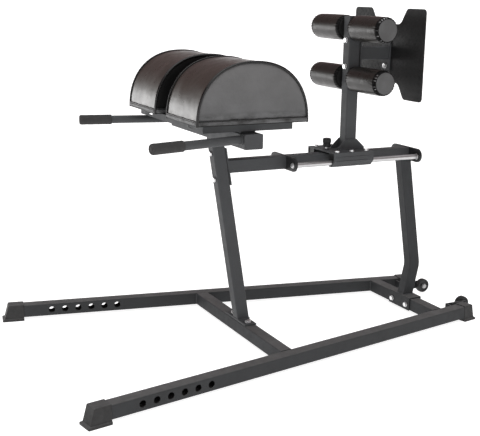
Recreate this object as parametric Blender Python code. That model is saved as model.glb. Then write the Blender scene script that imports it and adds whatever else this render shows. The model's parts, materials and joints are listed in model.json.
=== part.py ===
"""Roman chair (glute-ham bench), modelled as the separate pieces it is bolted together from.

A splayed tube base carries two leaning uprights.  The front one holds a crossbar with two
handles and a split half-round pad.  A top beam joins the uprights and carries two guide rods;
the foot unit (post, four rollers and foot plate) slides along them and is locked by a plunger.

Metres.  +Z is up, +Y runs from the handles to the foot plate, +X is the right-hand side.
The origin is on the floor, in the middle of the machine's outer box.
"""
import math

import bmesh
import bpy
from mathutils import Vector

GAP = 0.0003                 # clearance between touching pieces

# Base: two splayed rails joined by two crossmembers
RAIL_FRONT_Y = -0.816
RAIL_REAR_Y = 0.795
RAIL_SPREAD_FRONT = 0.5195   # half the distance between the rails at their front ends
RAIL_SPREAD_REAR = 0.2205
TUBE = 0.050                 # square stock of the base
WALL = 0.003
TUBE_RADIUS = 0.005
RAIL_Z = 0.037               # mid-height of the base tubes
RAIL_TOP = RAIL_Z + TUBE / 2
HOLE_RADIUS = 0.0125         # row of holes at each rail's front
HOLE_COUNT = 6
HOLE_PITCH = 0.053
HOLE_FIRST = 0.110           # along the rail, from its front end
FRONT_CROSS_Y = -0.098
REAR_CROSS_Y = 0.681

# Foot caps, measured outwards from the rail's end
CAP_SOLE = 0.011
CAP_SOLE_HALF = 0.032
CAP_TOP = 0.065
CAP_FRONT = (0.084, 0.075, 0.060)    # lengths of the sole, of the body's foot and of its top
CAP_REAR = (0.066, 0.058, 0.046)
CAP_HALF = 0.0265
PLUG_LENGTH = 0.035

# Transport wheels, each on an L-shaped bracket at the rail's inner side
WHEEL_X = 0.135
WHEEL_Y = 0.874
WHEEL_Z = 0.037
WHEEL_RADIUS = 0.030
WHEEL_WIDTH = 0.024
AXLE_RADIUS = 0.005
BRACKET_X = 0.155
BRACKET_Y = 0.775            # front of the L-shaped wheel bracket
BRACKET_THICK = 0.006
BRACKET_HALF_HEIGHT = 0.017

# Uprights and top beam
POST_WIDTH = 0.045           # the uprights, beam and foot post are 45 x 50 stock
POST_DEPTH = 0.050
LEAN = 0.168                 # forward run of the uprights for each metre of rise
PLATE = 0.006
FRONT_UPRIGHT_Y = -0.096     # middle of the front upright where it meets the base
REAR_BEND_Y = 0.707
REAR_BEND_Z = 0.195
BEAM_Z = 0.670
BEAM_TOP = BEAM_Z + POST_DEPTH / 2
BASE_PLATE_HALF = 0.085
BASE_BOLT_X = 0.060
SADDLE_HALF = 0.070
SADDLE_PLATE = 0.005
SADDLE_BOLT_X = 0.048
SADDLE_BOLT_Z = 0.034
FLANGE_HALF_HEIGHT = 0.070
FLANGE_BOLT_RISE = 0.049     # the beam flange's bolts sit this far above and below the beam
BOLT_RADIUS = 0.005
HEAD_RADIUS = 0.0095
HEAD_HEIGHT = 0.007

# Guide rods and the brackets at their ends
ROD_X = 0.076
ROD_Z = 0.667
ROD_RADIUS = 0.010
BRACKET_FRONT_Y = 0.0755
BRACKET_REAR_Y = 0.6455
ROD_BRACKET_THICK = 0.007
ROD_BRACKET_RADIUS = 0.027

# Carriage that slides on the rods
CARRIAGE_Y = 0.329
CARRIAGE_LENGTH = 0.180
CARRIAGE_HALF = 0.098
CARRIAGE_TOP = 0.706
CARRIAGE_SHEET = 0.004
SLIDE_BOLT_X = 0.080
SLIDE_BOLT_PITCH = 0.065
PLUNGER_Y = 0.264
PLUNGER_RADIUS = 0.005
PIN_HOLE_RADIUS = 0.006
PIN_PITCH = 0.030
PIN_HOLES_AHEAD = 5          # holes in front of the plunger's present one
PIN_HOLES_BEHIND = 7

# Foot unit on the carriage
POST_Y = 0.3595
POST_TOP = 1.215
GUSSET_HALF = 0.060
GUSSET_TOP = 0.745
ROLLER_HEIGHTS = {"upper": 1.170, "lower": 0.979}
ROLLER_RADIUS = 0.048
ROLLER_INNER = 0.030
ROLLER_OUTER = 0.234
SHAFT_RADIUS = 0.0125
SHAFT_HALF = 0.215
ARM_Z = 1.0745
ARM_FLANGE_HALF = 0.068
ARM_FLANGE_WIDTH = 0.054
ARM_BOLT_RISE = 0.050
FOOT_PLATE_Y = 0.526         # front face of the foot plate
FOOT_PLATE_THICK = 0.005
FOOT_PLATE_Z = 1.074
FOOT_WING_HALF = 0.233
FOOT_WING_HEIGHT = 0.172
FOOT_WAIST_HEIGHT = 0.112
FOOT_WING_INNER = 0.118
FOOT_WAIST_HALF = 0.078

# Crossbar, handles and pad
CROSSBAR_Y = -0.221
CROSSBAR_Z = 0.808
CROSSBAR_HALF = 0.318
CROSSBAR_DEPTH = 0.070
CROSSBAR_HEIGHT = 0.052
HANDLE_Z = 0.814
HANDLE_BASE_X = 0.291
HANDLE_TIP = (0.373, -0.612)
HANDLE_RADIUS = 0.0150
GRIP_RADIUS = 0.0185
GRIP_LENGTH = 0.122
TRAY_HALF = 0.285
TRAY_FRONT_Y = -0.395
TRAY_REAR_Y = -0.055
TRAY_BOTTOM = 0.840
TRAY_TOP = 0.864
TRAY_SHEET = 0.003
SLOT_X = 0.185
PAD_INNER = 0.054
PAD_OUTER = 0.314
PAD_MID_Y = -0.22
PAD_RADIUS = 0.210
PAD_BOTTOM = 0.866
PAD_POWER = 2.25             # a little fuller at the shoulders than a half circle

PAINT = ("charcoal powder coat", (0.055, 0.056, 0.060), 0.55, 0.0)
BLACK_STEEL = ("black powder coat", (0.020, 0.020, 0.022), 0.50, 0.0)
ZINC = ("zinc plate", (0.75, 0.76, 0.77), 0.30, 1.0)
CHROME = ("chrome", (0.80, 0.81, 0.82), 0.10, 1.0)
BOOT = ("foot rubber", (0.035, 0.035, 0.038), 0.75, 0.0)
GRIP = ("grip rubber", (0.025, 0.025, 0.027), 0.80, 0.0)
VINYL = ("black vinyl", (0.012, 0.010, 0.010), 0.30, 0.0)
PLASTIC = ("black plastic", (0.015, 0.015, 0.016), 0.45, 0.0)
TREAD = ("tread plate", (0.022, 0.022, 0.024), 0.40, 0.0)


# ---------------------------------------------------------------- modelling tools

def clear_scene():
    for item in list(bpy.data.objects):
        bpy.data.objects.remove(item, do_unlink=True)


def finish_material(spec):
    name, colour, roughness, metallic = spec
    made = bpy.data.materials.get(name)
    if made is None:
        made = bpy.data.materials.new(name)
        made.use_nodes = True
        shader = made.node_tree.nodes["Principled BSDF"]
        shader.inputs["Base Color"].default_value = (*colour, 1.0)
        shader.inputs["Roughness"].default_value = roughness
        shader.inputs["Metallic"].default_value = metallic
    return made


def loft(name, rings, finish, closed=False, origin=(0.0, 0.0, 0.0)):
    """Skin a run of equal rings; a closed run joins its last ring to its first, an open one is capped."""
    mesh = bmesh.new()
    start = Vector(origin)
    rows = [[mesh.verts.new(Vector(point) - start) for point in ring] for ring in rings]
    pairs = list(zip(rows, rows[1:]))
    if closed:
        pairs.append((rows[-1], rows[0]))
    else:
        mesh.faces.new(rows[0])
        mesh.faces.new(rows[-1])
    for low, high in pairs:
        for i in range(len(low)):
            j = (i + 1) % len(low)
            mesh.faces.new((low[i], low[j], high[j], high[i]))
    bmesh.ops.recalc_face_normals(mesh, faces=mesh.faces)
    data = bpy.data.meshes.new(name)
    mesh.to_mesh(data)
    mesh.free()
    made = bpy.data.objects.new(name, data)
    made.location = start
    bpy.context.scene.collection.objects.link(made)
    data.materials.append(finish_material(finish))
    data.shade_smooth()
    data.set_sharp_from_angle(angle=math.radians(35))
    return made


def combine(target, tool, operation):
    """Apply one exact boolean to the target and remove the tool."""
    modifier = target.modifiers.new(operation.title(), "BOOLEAN")
    modifier.object = tool
    modifier.operation = operation
    bpy.context.view_layer.update()
    graph = bpy.context.evaluated_depsgraph_get()
    result = bpy.data.meshes.new_from_object(target.evaluated_get(graph))
    target.modifiers.remove(modifier)
    target.data = result
    bpy.data.objects.remove(tool, do_unlink=True)
    result.shade_smooth()
    result.set_sharp_from_angle(angle=math.radians(35))
    return target


def cut(target, tool):
    return combine(target, tool, "DIFFERENCE")


def join(target, tool):
    return combine(target, tool, "UNION")


def rounded_rectangle(width, depth, radius=TUBE_RADIUS, steps=3):
    """Outline of a tube section, as (u, v) pairs."""
    points = []
    corners = ((1, 1, 0.0), (-1, 1, 0.5), (-1, -1, 1.0), (1, -1, 1.5))
    for side_u, side_v, turn in corners:
        centre_u = side_u * (width / 2 - radius)
        centre_v = side_v * (depth / 2 - radius)
        for i in range(steps + 1):
            angle = math.pi * (turn + 0.5 * i / steps)
            points.append((centre_u + radius * math.cos(angle), centre_v + radius * math.sin(angle)))
    return points


def circle(radius, count):
    return [(radius * math.cos(math.tau * i / count), radius * math.sin(math.tau * i / count))
            for i in range(count)]


def place(outline, centre, u_axis, v_axis):
    """Put a flat outline into space."""
    middle, u_dir, v_dir = Vector(centre), Vector(u_axis), Vector(v_axis)
    return [middle + u * u_dir + v * v_dir for u, v in outline]


def box(name, low, high, finish):
    (x0, y0, z0), (x1, y1, z1) = low, high
    corners = ((x0, y0), (x1, y0), (x1, y1), (x0, y1))
    return loft(name, [[(x, y, z) for x, y in corners] for z in (z0, z1)], finish)


def rod(name, start, end, radius, finish, count=16):
    """A plain cylinder between two points on one of the main axes."""
    along = (Vector(end) - Vector(start)).normalized()
    side = Vector((0, 0, 1)) if abs(along.z) < 0.5 else Vector((1, 0, 0))
    across = along.cross(side)
    outline = circle(radius, count)
    return loft(name, [place(outline, point, side, across) for point in (start, end)], finish)


def tube(name, start, end, u_axis, v_axis, size, finish, wall=WALL):
    """A straight open-ended tube with rounded corners."""
    outer = rounded_rectangle(*size)
    inner = rounded_rectangle(size[0] - 2 * wall, size[1] - 2 * wall, TUBE_RADIUS - wall)
    rings = [place(outer, start, u_axis, v_axis), place(outer, end, u_axis, v_axis),
             place(inner, end, u_axis, v_axis), place(inner, start, u_axis, v_axis)]
    return loft(name, rings, finish, closed=True)


def turned(name, profile, centre, axis, finish, count=32, closed=False):
    """Spin (radius, distance) pairs about an axis through the centre."""
    along = Vector(axis)
    side = Vector((0, 0, 1)) if abs(along.z) < 0.5 else Vector((1, 0, 0))
    across = along.cross(side)
    rings = [place(circle(radius, count), Vector(centre) + distance * along, side, across)
             for radius, distance in profile]
    return loft(name, rings, finish, closed=closed, origin=centre)


def bolt(name, under_head, direction, length, nut=True, radius=BOLT_RADIUS):
    """Hex bolt: the head's underside is at under_head, the shank runs along the direction."""
    along = Vector(direction)
    start = Vector(under_head)
    side = Vector((0, 0, 1)) if abs(along.z) < 0.5 else Vector((1, 0, 0))
    across = along.cross(side)
    stations = [(HEAD_RADIUS * 0.86, -HEAD_HEIGHT), (HEAD_RADIUS, -HEAD_HEIGHT * 0.8),
                (HEAD_RADIUS, 0.0), (radius, 0.0)]
    if nut:
        stations += [(radius, length), (HEAD_RADIUS, length), (HEAD_RADIUS, length + HEAD_HEIGHT)]
    else:
        stations += [(radius, length)]
    rings = [place(circle(size, 12), start + distance * along, side, across)
             for size, distance in stations]
    return loft(name, rings, ZINC, origin=under_head)


def drill(target, start, end, radius, count=16):
    return cut(target, rod("drill", start, end, radius, ZINC, count))


SIDES = (("left", -1.0), ("right", 1.0))


# ---------------------------------------------------------------- base

def rail_x(y):
    share = (y - RAIL_FRONT_Y) / (RAIL_REAR_Y - RAIL_FRONT_Y)
    return RAIL_SPREAD_FRONT + share * (RAIL_SPREAD_REAR - RAIL_SPREAD_FRONT)


SPLAY = math.atan2(RAIL_SPREAD_FRONT - RAIL_SPREAD_REAR, RAIL_REAR_Y - RAIL_FRONT_Y)


def rail_axes(side):
    """Directions along a rail, towards the rear, and across it."""
    along = Vector((-side * math.sin(SPLAY), math.cos(SPLAY), 0.0))
    return along, Vector((along.y, -along.x, 0.0))


def build_rail(label, side):
    along, across = rail_axes(side)
    start = Vector((side * RAIL_SPREAD_FRONT, RAIL_FRONT_Y, RAIL_Z))
    end = Vector((side * RAIL_SPREAD_REAR, RAIL_REAR_Y, RAIL_Z))
    rail = tube("rail_" + label, start, end, across, (0, 0, 1), (TUBE, TUBE), PAINT)
    for i in range(HOLE_COUNT):
        middle = start + (HOLE_FIRST + i * HOLE_PITCH) * along
        drill(rail, middle - TUBE * across, middle + TUBE * across, HOLE_RADIUS, 20)


def build_crossmember(name, middle_y):
    """Tube across the machine, its ends mitred to the rails' inner faces."""
    inset = TUBE / 2 / math.cos(SPLAY) + GAP

    def ring(outline, side):
        return [(side * (rail_x(middle_y + u) - inset), middle_y + u, RAIL_Z + v) for u, v in outline]

    outer = rounded_rectangle(TUBE, TUBE)
    inner = rounded_rectangle(TUBE - 2 * WALL, TUBE - 2 * WALL, TUBE_RADIUS - WALL)
    rings = [ring(outer, -1), ring(outer, 1), ring(inner, 1), ring(inner, -1)]
    return loft(name, rings, PAINT, closed=True)


def build_foot_cap(name, side, end):
    """Rubber boot on a rail's end; end is -1 at the front and +1 at the rear."""
    along, across = rail_axes(side)
    start_x = side * (RAIL_SPREAD_FRONT if end < 0 else RAIL_SPREAD_REAR)
    start_y = RAIL_FRONT_Y if end < 0 else RAIL_REAR_Y
    outward = along * end
    root = Vector((start_x, start_y, 0.0)) + outward * GAP

    def ring(height, half, near, far, radius):
        outline = rounded_rectangle(2 * half, far - near, radius)
        centre = root + outward * (near + far) / 2 + Vector((0, 0, height))
        return place(outline, centre, across, outward)

    crown, edge = 0.002, 0.003
    sole, foot, top = CAP_FRONT if end < 0 else CAP_REAR
    rings = [ring(0.0, CAP_SOLE_HALF, 0.0, sole, edge),
             ring(CAP_SOLE * 0.7, CAP_SOLE_HALF, 0.0, sole, edge),
             ring(CAP_SOLE, CAP_HALF + 0.001, 0.0, foot, edge),
             ring(CAP_TOP - crown, CAP_HALF, 0.0, top + 0.001, edge),
             ring(CAP_TOP, CAP_HALF - crown, 0.0, top - crown, edge)]
    cap = loft(name, rings, BOOT)
    plug_side = TUBE - 2 * WALL - 2 * GAP
    plug = rounded_rectangle(plug_side, plug_side, 0.002)
    plug_start = root + outward * 0.002 + Vector((0, 0, RAIL_Z))
    plug_end = root - outward * PLUG_LENGTH + Vector((0, 0, RAIL_Z))
    join(cap, loft("plug", [place(plug, point, across, (0, 0, 1)) for point in (plug_start, plug_end)], BOOT))


def build_wheel_set(label, side):
    """L-shaped bracket on the rail's inner side, transport wheel and axle bolt."""
    x = side * BRACKET_X
    root_y = BRACKET_Y
    half = BRACKET_HALF_HEIGHT
    outline = [(root_y, WHEEL_Z - half)]
    for i in range(9):
        angle = math.pi * (i / 8 - 0.5)
        outline.append((WHEEL_Y + half * math.cos(angle), WHEEL_Z + half * math.sin(angle)))
    outline.append((root_y, WHEEL_Z + half))
    faces = (x - BRACKET_THICK / 2, x + BRACKET_THICK / 2)
    bracket = loft("wheel_bracket_" + label, [[(face, y, z) for y, z in outline] for face in faces], PAINT)
    rail_face = rail_x(root_y + BRACKET_THICK) - TUBE / 2 / math.cos(SPLAY) - GAP
    tab = sorted((x - side * BRACKET_THICK / 4, side * rail_face))
    join(bracket, box("tab", (tab[0], root_y, WHEEL_Z - half), (tab[1], root_y + BRACKET_THICK, WHEEL_Z + half), PAINT))
    axle = Vector((0, WHEEL_Y, WHEEL_Z))
    reach = Vector((0.05, 0, 0))
    centre_x = Vector((x, 0, 0))
    drill(bracket, axle + centre_x - reach, axle + centre_x + reach, AXLE_RADIUS + GAP)
    bore = AXLE_RADIUS + 2 * GAP
    half_width = WHEEL_WIDTH / 2
    profile = [(bore, -half_width), (WHEEL_RADIUS - 0.003, -half_width), (WHEEL_RADIUS, -half_width + 0.004),
               (WHEEL_RADIUS, half_width - 0.004), (WHEEL_RADIUS - 0.003, half_width), (bore, half_width)]
    turned("wheel_" + label, profile, (side * WHEEL_X, WHEEL_Y, WHEEL_Z), (1, 0, 0), PLASTIC, 28, closed=True)
    head_x = side * (WHEEL_X - half_width - 2 * GAP)
    length = BRACKET_X + BRACKET_THICK / 2 + GAP - abs(head_x)
    bolt("wheel_axle_" + label, (head_x, WHEEL_Y, WHEEL_Z), (side, 0, 0), length, radius=AXLE_RADIUS)


def build_base():
    for label, side in SIDES:
        build_rail(label, side)
        build_foot_cap("foot_cap_front_" + label, side, -1)
        build_foot_cap("foot_cap_rear_" + label, side, 1)
        build_wheel_set(label, side)
    front = build_crossmember("front_crossmember", FRONT_CROSS_Y)
    rear = build_crossmember("rear_crossmember", REAR_CROSS_Y)
    for side in (-1, 1):
        x = side * BASE_BOLT_X
        drill(front, (x, FRONT_CROSS_Y, 0.0), (x, FRONT_CROSS_Y, 0.1), BOLT_RADIUS + GAP)
        x = side * SADDLE_BOLT_X
        drill(rear, (x, REAR_CROSS_Y - TUBE, SADDLE_BOLT_Z), (x, REAR_CROSS_Y + TUBE, SADDLE_BOLT_Z),
              BOLT_RADIUS + GAP)


# ---------------------------------------------------------------- uprights and beam

def front_upright_y(z):
    return FRONT_UPRIGHT_Y - LEAN * (z - RAIL_TOP)


def slice_at(outline, y, z, stretch=1.0):
    """Horizontal slice of a leaning tube."""
    return [(u, y + v * stretch, z) for u, v in outline]


def leaning_tube(name, stations, finish):
    """Tube through (y, z) stations, every section horizontal so that both ends sit flat."""
    outer = rounded_rectangle(POST_WIDTH, POST_DEPTH)
    inner = rounded_rectangle(POST_WIDTH - 2 * WALL, POST_DEPTH - 2 * WALL, TUBE_RADIUS - WALL)
    rings = [slice_at(outer, y, z) for y, z in stations]
    rings += [slice_at(inner, y, z) for y, z in reversed(stations)]
    return loft(name, rings, finish, closed=True)


def build_front_upright():
    plate_top = RAIL_TOP + GAP + PLATE
    top = CROSSBAR_Z - CROSSBAR_HEIGHT / 2 - GAP
    stations = [(front_upright_y(z), z) for z in (plate_top - 0.002, top)]
    upright = leaning_tube("front_upright", stations, PAINT)
    half = TUBE / 2 - 0.001
    plate = box("plate", (-BASE_PLATE_HALF, FRONT_CROSS_Y - half, RAIL_TOP + GAP),
                (BASE_PLATE_HALF, FRONT_CROSS_Y + half, plate_top), PAINT)
    join(upright, plate)
    depth = PLATE + GAP * 2 + TUBE
    for label, side in SIDES:
        x = side * BASE_BOLT_X
        drill(upright, (x, FRONT_CROSS_Y, RAIL_TOP - 0.01), (x, FRONT_CROSS_Y, plate_top + 0.01), BOLT_RADIUS + GAP)
        bolt("base_bolt_" + label, (x, FRONT_CROSS_Y, plate_top + GAP), (0, 0, -1), depth + GAP)
    for label, rise in (("upper", FLANGE_BOLT_RISE), ("lower", -FLANGE_BOLT_RISE)):
        z = BEAM_Z + rise
        front = front_upright_y(z) - POST_DEPTH / 2
        drill(upright, (0, front - 0.03, z), (0, front + POST_DEPTH + 0.03, z), BOLT_RADIUS + GAP)
        grip_length = POST_DEPTH + PLATE + 4 * GAP + 2 * LEAN * HEAD_RADIUS
        start = (0, front - GAP - LEAN * HEAD_RADIUS, z)
        bolt("beam_bolt_" + label, start, (0, 1, 0), grip_length)


def build_rear_upright():
    """Bent tube welded to a saddle that straddles the rear crossmember."""
    base_z = RAIL_TOP + GAP + SADDLE_PLATE
    top_z = BEAM_Z - POST_DEPTH / 2 - GAP
    low_slope = (REAR_BEND_Y - REAR_CROSS_Y) / (REAR_BEND_Z - base_z)
    bend = 0.016
    stations = [(REAR_CROSS_Y - 0.001, base_z - 0.002)]
    for i in range(7):
        t = i / 6 * 2 - 1
        z = REAR_BEND_Z + t * bend
        below = REAR_BEND_Y + low_slope * (z - REAR_BEND_Z)
        above = REAR_BEND_Y - LEAN * (z - REAR_BEND_Z)
        soften = (low_slope + LEAN) * bend * (1 - abs(t)) ** 2 / 4
        stations.append((min(below, above) - soften, z))
    stations.append((REAR_BEND_Y - LEAN * (top_z - REAR_BEND_Z), top_z))
    upright = leaning_tube("rear_upright", stations, PAINT)
    inner = TUBE / 2 + GAP
    outer = inner + SADDLE_PLATE
    low = RAIL_Z - TUBE / 2
    section = [(-outer, low), (-outer, base_z), (outer, base_z), (outer, low),
               (inner, low), (inner, base_z - SADDLE_PLATE), (-inner, base_z - SADDLE_PLATE), (-inner, low)]
    saddle = loft("saddle", [[(x, REAR_CROSS_Y + y, z) for y, z in section]
                             for x in (-SADDLE_HALF, SADDLE_HALF)], PAINT)
    join(upright, saddle)
    for label, side in SIDES:
        x = side * SADDLE_BOLT_X
        drill(upright, (x, REAR_CROSS_Y - TUBE, SADDLE_BOLT_Z), (x, REAR_CROSS_Y + TUBE, SADDLE_BOLT_Z),
              BOLT_RADIUS + GAP)
        bolt("saddle_bolt_" + label, (x, REAR_CROSS_Y - outer - GAP, SADDLE_BOLT_Z), (0, 1, 0),
             2 * outer + 2 * GAP)


def build_beam():
    """Beam tube welded to the flange plate on the front upright, with the row of pin holes on top."""
    rear_y = BRACKET_REAR_Y - ROD_BRACKET_THICK / 2 - GAP
    half_width = POST_WIDTH / 2
    low, high = BEAM_Z - FLANGE_HALF_HEIGHT, BEAM_Z + FLANGE_HALF_HEIGHT
    contact = POST_DEPTH / 2 + GAP
    face = [(front_upright_y(low) + contact, low), (front_upright_y(high) + contact, high),
            (front_upright_y(high) + contact + PLATE, high), (front_upright_y(low) + contact + PLATE, low)]
    beam = loft("top_beam", [[(x, y, z) for y, z in face] for x in (-half_width, half_width)], BLACK_STEEL)

    def slanted_ring(outline, offset):
        """Section parallel to the flange plate, so far behind the upright's middle."""
        return [(u, front_upright_y(BEAM_Z + v) + offset, BEAM_Z + v) for u, v in outline]

    outer = rounded_rectangle(POST_WIDTH - 0.0004, POST_DEPTH)
    rear_ring = place(outer, (0, rear_y, BEAM_Z), (1, 0, 0), (0, 0, 1))
    join(beam, loft("solid", [slanted_ring(outer, contact + PLATE / 2), rear_ring], PAINT))
    inner = rounded_rectangle(POST_WIDTH - 2 * WALL, POST_DEPTH - 2 * WALL, TUBE_RADIUS - WALL)
    rear_ring = place(inner, (0, rear_y + 0.01, BEAM_Z), (1, 0, 0), (0, 0, 1))
    cut(beam, loft("bore", [slanted_ring(inner, contact + PLATE + 0.001), rear_ring], PAINT))
    for i in range(-PIN_HOLES_AHEAD, PIN_HOLES_BEHIND + 1):
        y = PLUNGER_Y + i * PIN_PITCH
        drill(beam, (0, y, BEAM_TOP - 2 * WALL), (0, y, BEAM_TOP + WALL), PIN_HOLE_RADIUS, 12)
    for rise in (-FLANGE_BOLT_RISE, FLANGE_BOLT_RISE):
        z = BEAM_Z + rise
        y = front_upright_y(z) + contact
        drill(beam, (0, y - 0.02, z), (0, y + 0.02, z), BOLT_RADIUS + GAP)


def stadium(radius):
    """Outline of a plate with round ends, as wide as the two guide rods."""
    reach = ROD_X + ROD_RADIUS + 0.015 - radius
    points = []
    for side in (1, -1):
        for i in range(11):
            angle = math.pi * (i / 10 - 0.5) + (0 if side > 0 else math.pi)
            points.append((side * reach + radius * math.cos(angle), radius * math.sin(angle)))
    return points


def build_rods():
    outline = stadium(ROD_BRACKET_RADIUS)
    for name, y in (("rod_bracket_front", BRACKET_FRONT_Y), ("rod_bracket_rear", BRACKET_REAR_Y)):
        half = ROD_BRACKET_THICK / 2
        bracket = loft(name, [place(outline, (0, y + s * half, BEAM_Z), (1, 0, 0), (0, 0, 1))
                              for s in (-1, 1)], BLACK_STEEL)
        if name == "rod_bracket_front":
            window = rounded_rectangle(POST_WIDTH + 2 * GAP, POST_DEPTH + 2 * GAP)
            cut(bracket, loft("window", [place(window, (0, y + s * 0.02, BEAM_Z), (1, 0, 0), (0, 0, 1))
                                         for s in (-1, 1)], PAINT))
        else:
            # Its middle is trimmed flat where it stands on the rear upright.
            seat = BEAM_Z - POST_DEPTH / 2
            cut(bracket, box("trim", (-POST_WIDTH / 2 - 0.002, y - 0.02, seat - 0.02),
                             (POST_WIDTH / 2 + 0.002, y + 0.02, seat), PAINT))
        for side in (-1, 1):
            x = side * ROD_X
            drill(bracket, (x, y - 0.02, ROD_Z), (x, y + 0.02, ROD_Z), ROD_RADIUS + 2 * GAP, 24)
    for label, side in SIDES:
        x = side * ROD_X
        start = (x, BRACKET_FRONT_Y - ROD_BRACKET_THICK / 2 - 0.001, ROD_Z)
        end = (x, BRACKET_REAR_Y + ROD_BRACKET_THICK / 2 + 0.001, ROD_Z)
        rod("guide_rod_" + label, start, end, ROD_RADIUS, CHROME, 24)


# ---------------------------------------------------------------- carriage and foot unit

def carriage_section(inset, lip):
    """Half section of the folded carriage sheet, from its top to its inward lip."""
    wing = CARRIAGE_HALF - inset
    return [(wing, CARRIAGE_TOP - inset), (wing, 0.672 + inset * 0.4), (0.080 - inset * 0.4, 0.650 + inset),
            (lip, 0.650 + inset)]


def build_carriage():
    lip = 0.060
    outer, inner = carriage_section(0.0, lip), carriage_section(CARRIAGE_SHEET, lip)
    section = [(-x, z) for x, z in reversed(outer)] + outer
    section += list(reversed(inner)) + [(-x, z) for x, z in inner]
    ends = (CARRIAGE_Y - CARRIAGE_LENGTH / 2, CARRIAGE_Y + CARRIAGE_LENGTH / 2)
    carriage = loft("carriage", [[(x, y, z) for x, z in section] for y in ends], PAINT)
    boss = turned("boss", [(0.010, -0.003), (0.010, 0.002), (0.009, 0.003)],
                  (0, PLUNGER_Y, CARRIAGE_TOP), (0, 0, 1), ZINC, 16)
    join(carriage, boss)
    drill(carriage, (0, PLUNGER_Y, CARRIAGE_TOP - 0.02), (0, PLUNGER_Y, CARRIAGE_TOP + 0.03),
          PLUNGER_RADIUS + GAP)
    block_half = CARRIAGE_LENGTH / 2 - 0.003
    places = (("front", -SLIDE_BOLT_PITCH), ("middle", 0.0), ("rear", SLIDE_BOLT_PITCH))
    for label, side in SIDES:
        x = side * ROD_X
        shape = [(0.058, 0.6545), (0.0775, 0.6545), (0.0935, 0.6745), (0.0935, CARRIAGE_TOP - CARRIAGE_SHEET - GAP),
                 (0.058, CARRIAGE_TOP - CARRIAGE_SHEET - GAP)]
        block = loft("slide_block_" + label, [[(side * u, CARRIAGE_Y + s * block_half, z) for u, z in shape]
                                              for s in (-1, 1)], PLASTIC)
        drill(block, (x, CARRIAGE_Y - 0.15, ROD_Z), (x, CARRIAGE_Y + 0.15, ROD_Z), ROD_RADIUS + 2 * GAP, 24)
        for where, offset in places:
            spot = Vector((side * SLIDE_BOLT_X, CARRIAGE_Y + offset, CARRIAGE_TOP))
            deep = spot - Vector((0, 0, 0.0225))
            for piece in (carriage, block):
                drill(piece, deep, spot + Vector((0, 0, 0.01)), 0.004 + GAP, 12)
            bolt(f"slide_bolt_{where}_{label}", spot + Vector((0, 0, GAP)), (0, 0, -1), 0.0222,
                 nut=False, radius=0.004)


def build_plunger():
    """Locking pin with its knob, shown just lifted clear of the beam's row of pin holes."""
    bottom = BEAM_TOP + 2 * GAP - CARRIAGE_TOP
    profile = [(PLUNGER_RADIUS * 0.6, bottom), (PLUNGER_RADIUS, bottom + 0.002), (PLUNGER_RADIUS, 0.0105),
               (0.0150, 0.0105), (0.0170, 0.016), (0.0145, 0.022), (0.0165, 0.036), (0.0150, 0.0435),
               (0.006, 0.045)]
    turned("plunger", profile, (0, PLUNGER_Y, CARRIAGE_TOP), (0, 0, 1), PLASTIC, 20)


def build_post():
    """Upright tube closed at its top, with a gusset welded to each side at the foot."""
    bottom = CARRIAGE_TOP + GAP
    outer = rounded_rectangle(POST_WIDTH, POST_DEPTH)
    inner = rounded_rectangle(POST_WIDTH - 2 * WALL, POST_DEPTH - 2 * WALL, TUBE_RADIUS - WALL)
    rings = [slice_at(inner, POST_Y, POST_TOP - WALL), slice_at(inner, POST_Y, bottom),
             slice_at(outer, POST_Y, bottom), slice_at(outer, POST_Y, POST_TOP)]
    post = loft("foot_post", rings, PAINT)
    top_half = POST_DEPTH / 2 - 0.001
    low, shoulder = bottom + GAP, bottom + 0.006
    shape = [(-GUSSET_HALF, low), (GUSSET_HALF, low), (GUSSET_HALF, shoulder),
             (top_half, GUSSET_TOP), (-top_half, GUSSET_TOP), (-GUSSET_HALF, shoulder)]
    inner_x, outer_x = POST_WIDTH / 2 - 0.001, POST_WIDTH / 2 + 0.005
    for side in (-1, 1):
        gusset = loft("gusset", [[(side * x, POST_Y + y, z) for y, z in shape] for x in (inner_x, outer_x)], PAINT)
        join(post, gusset)
    for z in ROLLER_HEIGHTS.values():
        drill(post, (-0.05, POST_Y, z), (0.05, POST_Y, z), SHAFT_RADIUS + GAP, 28)
    for rise in (-ARM_BOLT_RISE, ARM_BOLT_RISE):
        z = ARM_Z + rise
        drill(post, (0, POST_Y - 0.05, z), (0, POST_Y + 0.05, z), BOLT_RADIUS + GAP)


def build_foot_arm():
    """Short arm between two flanges: one bolted to the post, one to the foot plate."""
    post_face = POST_Y + POST_DEPTH / 2 + GAP
    plate_face = FOOT_PLATE_Y - GAP
    half = ARM_FLANGE_WIDTH / 2
    low, high = ARM_Z - ARM_FLANGE_HALF, ARM_Z + ARM_FLANGE_HALF
    arm = tube("foot_arm", (0, post_face + PLATE - 0.002, ARM_Z), (0, plate_face - PLATE + 0.002, ARM_Z),
               (1, 0, 0), (0, 0, 1), (POST_WIDTH, POST_DEPTH), PAINT)
    drill(arm, (0, POST_Y + 0.09, ARM_Z - 0.03), (0, POST_Y + 0.09, ARM_Z), 0.004, 12)
    for start in (post_face, plate_face - PLATE):
        join(arm, box("flange", (-half, start, low), (half, start + PLATE, high), PAINT))
    for label, rise in (("upper", ARM_BOLT_RISE), ("lower", -ARM_BOLT_RISE)):
        z = ARM_Z + rise
        drill(arm, (0, post_face - 0.01, z), (0, plate_face + 0.01, z), BOLT_RADIUS + GAP)
        bolt("post_bolt_" + label, (0, POST_Y - POST_DEPTH / 2 - GAP, z), (0, 1, 0),
             POST_DEPTH + PLATE + 3 * GAP)
        bolt("plate_bolt_" + label, (0, plate_face - PLATE - GAP, z), (0, 1, 0),
             PLATE + FOOT_PLATE_THICK + 3 * GAP)


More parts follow.
